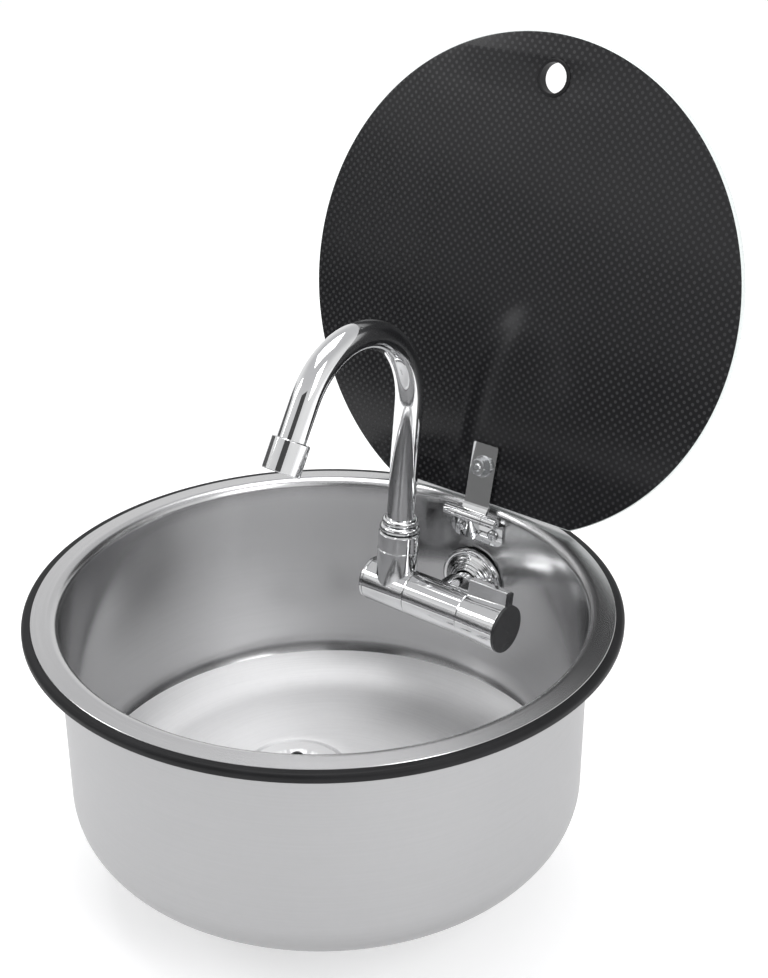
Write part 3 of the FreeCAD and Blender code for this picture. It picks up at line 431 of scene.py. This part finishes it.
def merged_copy(node):
    mesh = frame["nodes"][node].data.copy()
    work = bmesh.new()
    work.from_mesh(mesh)
    bmesh.ops.remove_doubles(work, verts=work.verts, dist=2e-6)
    bmesh.ops.dissolve_limit(work, angle_limit=math.radians(0.6), verts=work.verts,
                             edges=work.edges)
    work.to_mesh(mesh)
    work.free()
    return mesh


def true_rounds(mesh, rounds):
    """Points the normals of cylinders straight out from their (point, axis, radius in mm)."""
    normals = [corner.vector.copy() for corner in mesh.corner_normals]
    for polygon in mesh.polygons:
        for corner in polygon.loop_indices:
            spot = mesh.vertices[mesh.loops[corner].vertex_index].co
            for point, axis, radius in rounds:
                out = spot - point * MM
                out -= axis * out.dot(axis)
                facing = out.normalized().dot(polygon.normal)
                if abs(out.length - radius * MM) < 0.02 * MM and facing > 0.95:
                    normals[corner] = out.normalized()
    mesh.normals_split_custom_set(normals)


def skin(node, material, edge=0.15, rounds=()):
    """Copies a solid's mesh, rounds its edges and gives it a finish."""
    mesh = merged_copy(node)
    mesh.materials.clear()
    shade_smooth(mesh, 30.0)
    helper = bpy.data.objects.new("helper", mesh)
    bpy.context.scene.collection.objects.link(helper)
    if edge:
        bevel = helper.modifiers.new("Rounded edges", "BEVEL")
        bevel.width = edge * MM
        bevel.segments = 2
        bevel.limit_method = "ANGLE"
        bevel.angle_limit = math.radians(30.0)
        bevel.use_clamp_overlap = True
    weighted = helper.modifiers.new("Flat faces stay flat", "WEIGHTED_NORMAL")
    weighted.keep_sharp = True
    result = baked(helper)
    bpy.data.objects.remove(helper)
    if rounds:
        true_rounds(result, rounds)
    return finish_mesh(node + "_skin", result, material, BODY_OF[node], (node,))


# %% [markdown]
# ## Turning a profile
# Bowls, rings and sleeves are bodies of revolution. Blender has a Screw modifier for this, but a
# few lines of bmesh give closed seams and clean poles: each profile point becomes a ring of
# corners, and neighbouring rings are joined by quads. A ring may have its own centre, and that
# is what lets the bowl's floor run from the waste, off to one side, out to the wall.

# %% A turned mesh
def turned_rings(rings, segments, band_material=None):
    """Closed mesh from (centre, radius, height) rings about the Z axis, in millimetres."""
    work = bmesh.new()
    loops = []
    for centre, radius, height in rings:
        loop = []
        for index in range(segments):
            angle = 2 * math.pi * index / segments
            loop.append(work.verts.new(((centre.x + radius * math.cos(angle)) * MM,
                                        (centre.y + radius * math.sin(angle)) * MM, height * MM)))
        loops.append(loop)
    for row, first in enumerate(loops):
        second = loops[(row + 1) % len(loops)]
        for index in range(segments):
            after = (index + 1) % segments
            face = work.faces.new((first[index], first[after], second[after], second[index]))
            if band_material:
                face.material_index = band_material(row)
    bmesh.ops.recalc_face_normals(work, faces=work.faces)
    mesh = bpy.data.meshes.new("turned")
    work.to_mesh(mesh)
    work.free()
    return mesh


def bend_points(centre_r, centre_z, radius, start, end, steps):
    """Points (radius, height) on an arc of the profile, angles in degrees."""
    points = []
    for step in range(steps + 1):
        angle = math.radians(start + (end - start) * step / steps)
        points.append((centre_r + radius * math.cos(angle), centre_z + radius * math.sin(angle)))
    return points


# %% [markdown]
# ## The bowl
# One sheet is drawn into floor, wall and rim, with a pressed recess for the waste. In a mirror
# every facet shows, so the skin has 240 segments where the solid has fewer. The wet side, the
# rim and the dry side get different finishes, which is why each band of faces knows its zone.
# The floor's satin finish runs part of the way up the corner and ends in a crisp line; its much
# lighter tone is painted light, and the dry side's darker tone is painted shade. The rim
# is a little flatter than the solid's and bends into the wall more softly, which gives its front
# and back the widths that the camera sees.

# %% Bowl profile
CORNER_STEPS = 28            # bands of faces in the corner between floor and wall
FLOOR_STEPS = 18             # how many of them are satin like the floor
FLOOR_BANDS, WALL_BANDS = 12, 12
BOWL_SEGMENTS = 240
RECESS_STEP = 1.3            # half the width of the slope between recess and floor
WALL, RIM, DRY, FLOOR = range(4)


def bowl_side(depth):
    """(centre, radius, height, zone) rings from the waste hole to the rim's edge."""
    top = FLOOR_TOP - depth
    low = top - RECESS_DEPTH
    rings = []
    foot = RECESS_RADIUS - RECESS_STEP + depth * 0.5
    for radius in (RECESS_HOLE, RECESS_HOLE + 0.3, foot - 0.3):
        rings.append((WASTE, radius, low, FLOOR))
    for step in range(1, 6):
        share = step / 6
        ease = share * share * (3 - 2 * share)
        rings.append((WASTE, foot + 2 * RECESS_STEP * share, low + RECESS_DEPTH * ease, FLOOR))
    start, end = RECESS_RADIUS + RECESS_STEP + 0.4, WALL_INNER - FLOOR_BEND
    for step in range(FLOOR_BANDS + 1):
        share = step / FLOOR_BANDS
        rings.append((WASTE * (1 - share), start + (end - start) * share, top, FLOOR))
    wall_low, wall_high = FLOOR_TOP + FLOOR_BEND, BEND_Z
    corner = bend_points(WALL_INNER - FLOOR_BEND, wall_low, FLOOR_BEND + depth, -90, 0,
                         CORNER_STEPS)
    for step, (radius, height) in enumerate(corner[1:]):
        rings.append((Vector(), radius, height, FLOOR if step < FLOOR_STEPS else WALL))
    for step in range(1, WALL_BANDS):
        height = wall_low + (wall_high - wall_low) * step / WALL_BANDS
        rings.append((Vector(), WALL_INNER + depth, height, WALL))
    bend = bend_points(BEND_R, BEND_Z, RIM_BEND - depth, 180, 90 - math.degrees(RIM_SLOPE), 10)
    for radius, height in bend:
        rings.append((Vector(), radius, height, RIM))
    start_r, start_z = bend[-1]
    for radius in (start_r + 0.4, 164.0, 167.0, RIM_RADIUS - 0.6, RIM_RADIUS - 0.25):
        rings.append((Vector(), radius, start_z - (radius - start_r) * math.tan(RIM_SLOPE), RIM))
    return rings


def make_bowl():
    wet = bowl_side(0.0)
    dry = [ring[:3] + (DRY,) for ring in bowl_side(SHEET)]
    edge = [(Vector(), RIM_RADIUS, wet[-1][2] - 0.25, RIM),
            (Vector(), RIM_RADIUS, dry[-1][2] + 0.2, RIM)]
    rings = wet + edge + dry[::-1]
    # The floor zone's finish carries painted light in its tone, the dry side's painted shade.
    finishes = [steel_inside, steel_rim, steel_outside_painted_shade, steel_floor_painted_light]
    mesh = turned_rings([ring[:3] for ring in rings], BOWL_SEGMENTS, lambda row: rings[row][3])
    print("bowl skin:", len(mesh.polygons), "faces")
    shade_smooth(mesh, 30)
    return finish_mesh("bowl", mesh, finishes, "sink", ("basin",))


make_bowl()

# %% [markdown]
# ## The rim seal
# A black rubber channel sits between the steel rim and the worktop and wraps the steel's edge.
# Its outer shoulder is round, so it catches a thin soft highlight all the way round.

# %% Rim seal
def make_seal():
    outer = RIM_RADIUS + SEAL_REACH
    inner = RIM_RADIUS - SEAL_FOOT
    top = RIM_TOP - 0.3
    inner_top = SEAL_THICKNESS + SEAL_FOOT * math.tan(RIM_SLOPE) - 0.05
    points = [(inner, 0.25), (inner + 0.25, 0.0), (outer - 1.2, 0.0)]
    points += bend_points(outer - 1.2, 1.2, 1.2, -90, 0, 5)[1:]
    points += bend_points(outer - 2.4, top - 2.4, 2.4, 0, 90, 10)
    points += [(RIM_RADIUS + 0.35, top), (RIM_RADIUS + 0.05, top - 0.25)]
    points += [(RIM_RADIUS + 0.05, SEAL_THICKNESS - 0.05), (inner + 0.3, inner_top)]
    points += [(inner, inner_top - 0.3)]
    mesh = turned_rings([(Vector(), radius, height) for radius, height in points], BOWL_SEGMENTS)
    print("seal skin:", len(mesh.polygons), "faces")
    shade_smooth(mesh, 35)
    return finish_mesh("rim_gasket", mesh, rubber, "sink", ("rim_seal",))


make_seal()

# %% [markdown]
# ## The glass pane
# A flat pane with a straight edge and two holes could be cut with Booleans. A filled 2D curve is
# simpler: inner loops become holes by themselves, Extrude gives the thickness and Bevel the
# ground edge. Once it is a mesh, we stand it up, lean it back about the hinge pin and give the
# faces of the edge their own pale finish.

# %% Lid pane
LID_TURN = (Matrix.Translation(Vector((0.0, HINGE.y, HINGE.z)) * MM)
            @ Matrix.Rotation(-LID_LEAN, 4, "X"))


def loop_points(centre_x, centre_z, radius, count, start=0.0, sweep=2 * math.pi):
    steps = count if sweep >= 2 * math.pi else count - 1
    points = []
    for index in range(count):
        angle = start + sweep * index / steps
        points.append((centre_x + radius * math.cos(angle), centre_z + radius * math.sin(angle)))
    return points


def make_pane():
    half = math.sqrt(LID_RADIUS ** 2 - LID_CHORD ** 2)
    start = -math.pi / 2 + math.asin(half / LID_RADIUS)
    outline = loop_points(0.0, LID_REACH, LID_RADIUS, 220, start, math.pi - 2 * start)
    loops = [outline, loop_points(FINGER_X, LID_REACH + FINGER_REACH, FINGER_HOLE, 64),
             loop_points(HINGE.x, BOLT_REACH, BOLT_HOLE, 40)]
    curve = bpy.data.curves.new("pane", "CURVE")
    curve.dimensions = "2D"
    curve.fill_mode = "BOTH"
    curve.extrude = (GLASS / 2 - GLASS_EDGE) * MM
    curve.bevel_depth = GLASS_EDGE * MM
    curve.offset = -GLASS_EDGE * MM
    curve.bevel_resolution = 3
    for loop in loops:
        spline = curve.splines.new("POLY")
        spline.points.add(len(loop) - 1)
        for point, (x, y) in zip(spline.points, loop):
            point.co = (x * MM, y * MM, 0.0, 1.0)
        spline.use_cyclic_u = True
    helper = bpy.data.objects.new("helper", curve)
    bpy.context.scene.collection.objects.link(helper)
    mesh = baked(helper)
    bpy.data.objects.remove(helper)
    return mesh


def stand_up(mesh):
    """From the curve's own plane to the open lid."""
    middle = Matrix.Translation((0.0, (GLASS_NEAR + GLASS / 2) * MM, 0.0))
    mesh.transform(LID_TURN @ middle @ Matrix.Rotation(math.pi / 2, 4, "X"))
    work = bmesh.new()
    work.from_mesh(mesh)
    bmesh.ops.remove_doubles(work, verts=work.verts, dist=2e-6)
    bmesh.ops.recalc_face_normals(work, faces=work.faces)
    facing = Vector((0.0, math.cos(LID_LEAN), -math.sin(LID_LEAN)))
    for face in work.faces:
        face.material_index = 0 if abs(face.normal.dot(facing)) > 0.95 else 1
    work.to_mesh(mesh)
    work.free()


pane_mesh = make_pane()
stand_up(pane_mesh)
shade_smooth(pane_mesh, 35)
pane = finish_mesh("lid_pane", pane_mesh, [pane_black, pane_edge], "lid", ("lid_glass",))
print("pane:", len(pane_mesh.polygons), "faces")

# %% [markdown]
# ## Growing pieces with Geometry Nodes
# A tube along a path and a screw thread are rules, so a node tree makes them: a path, a section
# and Curve to Mesh. The trees below have named inputs for their sizes. A modifier's input is set
# through the socket's identifier, the finished geometry is turned into a plain mesh, and the
# helper with its modifier goes away.

# %% Helpers for node trees
def new_tree(name, sizes):
    tree = bpy.data.node_groups.new(name, "GeometryNodeTree")
    tree.interface.new_socket("Geometry", in_out="INPUT", socket_type="NodeSocketGeometry")
    for label, value in sizes.items():
        kind = "NodeSocketInt" if isinstance(value, int) else "NodeSocketFloat"
        socket = tree.interface.new_socket(label, in_out="INPUT", socket_type=kind)
        socket.default_value = value
    tree.interface.new_socket("Geometry", in_out="OUTPUT", socket_type="NodeSocketGeometry")
    return tree


def tree_node(tree, kind, links=None, **values):
    made = tree.nodes.new(kind)
    for key, value in values.items():
        made.inputs[key.replace("_", " ")].default_value = value
    for key, output in (links or {}).items():
        tree.links.new(output, made.inputs[key])
    return made


def close_tree(tree, geometry, material):
    """Ends a tree with Realize Instances and Set Material."""
    real = tree_node(tree, "GeometryNodeRealizeInstances", {"Geometry": geometry})
    coloured = tree_node(tree, "GeometryNodeSetMaterial", {"Geometry": real.outputs[0]})
    coloured.inputs["Material"].default_value = material
    out = tree.nodes.new("NodeGroupOutput")
    tree.links.new(coloured.outputs[0], out.inputs[0])


def grown(tree, data, sizes):
    """Runs a tree on a helper object and returns a plain mesh."""
    helper = bpy.data.objects.new("helper", data)
    bpy.context.scene.collection.objects.link(helper)
    modifier = helper.modifiers.new("Grow", "NODES")
    modifier.node_group = tree
    for item in tree.interface.items_tree:
        if item.in_out == "INPUT" and item.name in sizes:
            modifier[item.identifier] = sizes[item.name]
    mesh = baked(helper)
    helper.modifiers.remove(modifier)
    bpy.data.objects.remove(helper)
    return mesh


# %% [markdown]
# ## The gooseneck
# The spout is one bent tube: straight up from the neck, an arc forwards, and a short straight
# outlet. Its middle line is a list of points from the same sizes as the solid. The tree gives it
# a round section, and the arc gets enough points for a smooth edge against the white ground.

# %% Spout tube
HEAD_TURN = (Matrix.Translation(Vector((NECK_X, TAP.y, TAP.z)) * MM)
             @ Matrix.Rotation(-HEAD_LEAN, 4, "X"))


def spout_points():
    rise = SPOUT_RISE - SPOUT_FOOT
    points = [Vector((0, 0, SPOUT_FOOT + rise * step / 10)) for step in range(10)]
    for step in range(61):
        angle = SPOUT_SWEEP * step / 60
        forwards = SPOUT_BEND * (math.cos(angle) - 1)
        points.append(Vector((0, forwards, SPOUT_RISE + SPOUT_BEND * math.sin(angle))))
    bend_end = points[-1]
    ahead = Vector((0, -math.sin(SPOUT_SWEEP), math.cos(SPOUT_SWEEP)))
    for step in range(1, 6):
        points.append(bend_end + ahead * ((SPOUT_DROP - OUTLET_LAP) * step / 5))
    return points


def path_curve(points):
    curve = bpy.data.curves.new("path", "CURVE")
    curve.dimensions = "3D"
    spline = curve.splines.new("POLY")
    spline.points.add(len(points) - 1)
    for point, spot in zip(spline.points, points):
        point.co = (*(spot * MM), 1.0)
    return curve


def tube_tree(material):
    tree = new_tree("tube on a path", {"Tube radius": TUBE_RADIUS * MM, "Segments": 64})
    start = tree.nodes.new("NodeGroupInput")
    ring = tree_node(tree, "GeometryNodeCurvePrimitiveCircle",
                     {"Radius": start.outputs["Tube radius"],
                      "Resolution": start.outputs["Segments"]})
    tube = tree_node(tree, "GeometryNodeCurveToMesh",
                     {"Curve": start.outputs["Geometry"], "Profile Curve": ring.outputs[0]},
                     Fill_Caps=True)
    close_tree(tree, tube.outputs[0], material)
    return tree


spout_mesh = grown(tube_tree(chrome), path_curve(spout_points()),
                   {"Tube radius": TUBE_RADIUS * MM})
spout_mesh.transform(HEAD_TURN)
shade_smooth(spout_mesh, 35)
finish_mesh("gooseneck", spout_mesh, chrome, "spout", ("spout_tube",))
print("gooseneck:", len(spout_mesh.polygons), "faces")

# %% [markdown]
# ## The threaded shank
# Behind the bowl a half inch pipe thread clamps the tap to the wall and takes the hose. The CAD
# solid is a plain cylinder as wide as the crests. Here the core is turned down to the root of
# the thread, and a tree winds a small ridge round it with the Spiral node.

# %% Shank core and thread
THREAD_ROOT = SHANK_RADIUS - 0.7
THREAD_PITCH, THREAD_RIDGE = 1.81, 0.66
THREAD_START, THREAD_STOP = 44.0, SHANK_END - 2.6
SHANK_FRONT, FRONT_RADIUS, END_CHAMFER = 13.9, 8.0, 0.8
COLLAR_FRONT, COLLAR_BACK, COLLAR_RADIUS = 21.05, 23.45, 10.6
CHROME_BANDS = 6             # bands of the core, from the front, that are chrome
ALONG_SHANK = Matrix.Rotation(-math.pi / 2, 4, "X")


def shank_core():
    points = [(SHANK_FRONT, SHANK_BORE), (SHANK_FRONT, FRONT_RADIUS),
              (COLLAR_FRONT, FRONT_RADIUS), (COLLAR_FRONT, COLLAR_RADIUS),
              (COLLAR_BACK, COLLAR_RADIUS), (COLLAR_BACK, THREAD_ROOT),
              (THREAD_START, THREAD_ROOT), (SHANK_END - END_CHAMFER, THREAD_ROOT),
              (SHANK_END, THREAD_ROOT - END_CHAMFER), (SHANK_END, SHANK_BORE)]
    mesh = turned_rings([(Vector(), radius, along) for along, radius in points], 96,
                        lambda row: 1 if row < CHROME_BANDS else 0)
    mesh.transform(Matrix.Translation(TAP * MM) @ ALONG_SHANK)
    return mesh


def thread_tree(material):
    sizes = {"Turns": 20.0, "Coil radius": THREAD_ROOT * MM, "Length": 0.04,
             "Ridge": THREAD_RIDGE * MM}
    tree = new_tree("thread", sizes)
    start = tree.nodes.new("NodeGroupInput")
    coil = tree_node(tree, "GeometryNodeCurveSpiral",
                     {"Rotations": start.outputs["Turns"],
                      "Start Radius": start.outputs["Coil radius"],
                      "End Radius": start.outputs["Coil radius"],
                      "Height": start.outputs["Length"]}, Resolution=40)
    ridge = tree_node(tree, "GeometryNodeCurvePrimitiveCircle", {"Radius": start.outputs["Ridge"]},
                      Resolution=5)
    wound = tree_node(tree, "GeometryNodeCurveToMesh",
                      {"Curve": coil.outputs[0], "Profile Curve": ridge.outputs[0]},
                      Fill_Caps=True)
    close_tree(tree, wound.outputs[0], material)
    return tree


thread_length = THREAD_STOP - THREAD_START
thread_mesh = grown(thread_tree(brass), bpy.data.meshes.new("start"),
                    {"Turns": thread_length / THREAD_PITCH, "Length": thread_length * MM})
thread_mesh.transform(Matrix.Translation((TAP + Vector((0, THREAD_START, 0))) * MM) @ ALONG_SHANK)
core_mesh = shank_core()
for mesh in (thread_mesh, core_mesh):
    shade_smooth(mesh, 35)
finish_mesh("shank_thread", thread_mesh, brass, "sink")
finish_mesh("shank_core", core_mesh, [brass, chrome], "sink", ("tap_shank",))
print("thread:", round(thread_length / THREAD_PITCH, 1), "turns")

# %% [markdown]
# ## Skins for the other pieces
# The small pieces keep the solid's own form. The table gives each node its finish and how far
# its edges are rounded, in millimetres: pressed plates and plated castings are softer than
# turned washers.

# %% Dress the remaining nodes
FINISHES = {
    "tap_body": (chrome, 0.12), "tap_head": (chrome, 0.12), "head_end_cap": (chrome, 0.10),
    "spout_collar_nut": (chrome, 0.10), "spout_beads": (chrome, 0.0),
    "aerator_housing": (chrome, 0.10), "tap_wall_flange": (ringed_chrome, 0.10),
    "knob_body": (chrome, 0.35), "knob_cap": (cap_black, 0.25), "hinge_base_leaf": (chrome, 0.18),
    "hinge_lid_strap": (chrome, 0.18), "hinge_pin": (zinc, 0.0),
    "hinge_base_screws": (zinc, 0.08), "hinge_base_nuts": (zinc, 0.10), "lid_bolt": (zinc, 0.10),
    "lid_nut": (zinc, 0.12), "lid_front_washer": (zinc, 0.12), "lid_back_washer": (zinc, 0.12),
    "lid_pads": (rubber, 0.10), "lid_finger_grommet": (rubber, 0.0),
    # The strainer takes the floor's steel, painted light in its tone included.
    "waste_strainer": (steel_floor_painted_light, 0.10), "waste_screw": (zinc, 0.10),
    "waste_cup": (cup_black, 0.20), "waste_upper_seal": (rubber, 0.10),
    "waste_lower_seal": (rubber, 0.15), "tap_wall_gasket": (rubber, 0.10),
    "tap_back_gasket": (rubber, 0.15), "tap_back_washer": (zinc, 0.12),
    "tap_backnut": (brass, 0.20), "aerator_insert": (white_plastic, 0.05),
    "fold_o_rings": (rubber, 0.0), "fold_screw": (brass, 0.05), "valve_cartridge": (brass, 0.0),
    "valve_gland_nut": (brass, 0.0), "valve_spindle": (brass, 0.0), "knob_screw": (zinc, 0.0),
    "spout_bush": (brass, 0.0), "spout_o_ring": (rubber, 0.0),
}
AXIS_X, AXIS_Y = Vector((1, 0, 0)), Vector((0, 1, 0))
NECK_FOOT = Vector((NECK_X, TAP.y, TAP.z))
NECK_AXIS = Vector((0, math.sin(HEAD_LEAN), math.cos(HEAD_LEAN)))
ROUNDS = {
    "tap_body": [(TAP, AXIS_X, BARREL_RADIUS), (TAP, AXIS_Y, BOSS_RADIUS)],
    "tap_head": [(TAP, AXIS_X, BARREL_RADIUS), (NECK_FOOT, NECK_AXIS, NECK_RADIUS)],
    "head_end_cap": [(TAP, AXIS_X, CAP_RADIUS)],
    "spout_collar_nut": [(NECK_FOOT, NECK_AXIS, NECK_RADIUS)],
}
for node, (material, edge) in FINISHES.items():
    skin(node, material, edge, ROUNDS.get(node, ()))
for node, solid in frame["nodes"].items():
    material = FINISHES.get(node, (steel_outside_painted_shade, 0.0))[0]
    for index in range(len(solid.data.materials)):
        solid.data.materials[index] = material
    if not solid.data.materials:
        solid.data.materials.append(material)
print("skins:", len(SKINS), "- faces:", sum(len(piece.data.polygons) for piece in SKINS.values()))

# %% [markdown]
# ## Ground and backdrop
# The ground is a plain pale sheet at the lowest point of the sink. It is large enough that the
# camera sees nothing else, and nearly white, since the bowl's outside mirrors it.

# %% Pale ground
GROUND_GAP, GROUND_HALF = 0.0008, 9.0


def ground_finish():
    material = new_finish("pale_ground", Roughness=0.9, Emission_Color=(1.0, 1.0, 1.0, 1.0),
                          Emission_Strength=0.35)
    spot = place(material)
    clouds = spot.noise(3.0, 2.0)
    return feed(material, Base_Color=clouds.mix((0.86, 0.86, 0.865, 1.0), (0.89, 0.89, 0.89, 1.0)))


def make_ground():
    mesh = bpy.data.meshes.new("ground")
    low, far = cad_box[0].z - GROUND_GAP, GROUND_HALF
    corners = [(-far, -far, low), (far, -far, low), (far, far, low), (-far, far, low)]
    mesh.from_pydata(corners, [], [(0, 1, 2, 3)])
    mesh.materials.append(ground_finish())
    ground = bpy.data.objects.new("ground", mesh)
    bpy.context.scene.collection.objects.link(ground)
    print("the ground lies", round(-low / MM, 1), "mm below the worktop")


make_ground()

# %% [markdown]
# ## Light
# Metal shows its surroundings, so lighting a sink means building what it mirrors. A broad light
# overhead makes the floor of the bowl bright, together with the floor's painted light tone; two
# window lamps draw the soft streaks on its wall, and a pale sky fills the rest. Dark cards that
# only reflections can see give the chrome its dark bands and the glass its depth.

# %% Sky, lamps and cards
def make_sky():
    world = bpy.data.worlds.new("studio")
    world.use_nodes = True
    bpy.context.scene.world = world
    tree = world.node_tree
    background = tree.nodes["Background"]
    start = Wire(tree.nodes.new("ShaderNodeTexCoord").outputs["Generated"])
    height = start.split()[2]
    colour = height.between(0.2, 0.8).mix((1.0, 1.0, 1.0, 1.0), (0.66, 0.66, 0.67, 1.0))
    tree.links.new(colour.socket, background.inputs["Color"])
    background.inputs["Strength"].default_value = 0.9


def lamp(name, spot, target, width, height, power):
    data = bpy.data.lights.new(name, "AREA")
    data.shape = "RECTANGLE"
    data.size, data.size_y = width, height
    data.energy = power
    light = bpy.data.objects.new(name, data)
    light.location = spot
    light.rotation_euler = (Vector(target) - Vector(spot)).to_track_quat("-Z", "Y").to_euler()
    bpy.context.scene.collection.objects.link(light)


def card(name, left, right, low, high, brightness):
    """An upright card that only reflections see, over the line from left to right."""
    mesh = bpy.data.meshes.new(name)
    corners = [(*left, low), (*right, low), (*right, high), (*left, high)]
    mesh.from_pydata(corners, [], [(0, 1, 2, 3)])
    mesh.materials.append(new_finish(name + "_paint", Roughness=1.0, Specular_IOR_Level=0.0,
                                     Base_Color=(brightness, brightness, brightness, 1.0)))
    item = bpy.data.objects.new(name, mesh)
    bpy.context.scene.collection.objects.link(item)
    item.visible_camera = False
    item.visible_shadow = False
    item.visible_diffuse = False
    item.visible_transmission = False


make_sky()
lamp("overhead", (-0.25, 0.15, 1.9), (0.0, 0.0, 0.0), 1.3, 1.3, 20.0)
lamp("left_window", (-1.75, -1.35, 1.45), (0.0, 0.0, 0.0), 0.7, 0.8, 8.0)
lamp("right_window", (1.75, -0.4, 1.3), (0.0, 0.0, -0.05), 0.65, 1.3, 13.0)
card("low_card", (-1.36, -0.83), (-0.2, -2.1), -0.18, 0.15, 0.14)
card("front_card", (-1.36, -0.83), (-0.2, -2.1), 0.15, 0.5, 0.42)
card("side_card", (-2.3, 0.2), (-1.36, -0.83), -0.18, 0.5, 0.10)
card("studio_card", (1.29, -1.53), (0.17, -1.99), 0.1, 1.7, 0.06)

# %% [markdown]
# ## Camera
# The camera stands where the photo was taken from: the ellipse of the rim gives its height, and
# the size of the bowl against the tall lid gives its distance. It looks down at 26 degrees from
# the right of the sink's front. Standard colour keeps the pale ground nearly white.

# %% Camera and colour
CAMERA_PLACE = (0.5509, -0.6380, 0.4947)
CAMERA_TURN, CAMERA_TILT = math.radians(38.43), math.radians(26.43)
FOCAL_PIXELS, PHOTO_HEIGHT, SENSOR = 1655.13, 978, 36.0


def make_camera():
    level, rise = math.cos(CAMERA_TILT), math.sin(CAMERA_TILT)
    back = Vector((math.sin(CAMERA_TURN) * level, -math.cos(CAMERA_TURN) * level, rise))
    right = Vector((math.cos(CAMERA_TURN), math.sin(CAMERA_TURN), 0.0))
    up = back.cross(right)
    data = bpy.data.cameras.new("camera")
    data.lens = FOCAL_PIXELS / PHOTO_HEIGHT * SENSOR
    camera = bpy.data.objects.new("camera", data)
    turn = Matrix((right, up, back)).transposed().to_4x4()
    camera.matrix_world = Matrix.Translation(CAMERA_PLACE) @ turn
    bpy.context.scene.collection.objects.link(camera)
    bpy.context.scene.camera = camera


make_camera()
bpy.context.scene.view_settings.view_transform = "Standard"
bpy.context.scene.view_settings.look = "None"
print("camera:", [round(c, 3) for c in bpy.context.scene.camera.location])

# %% [markdown]
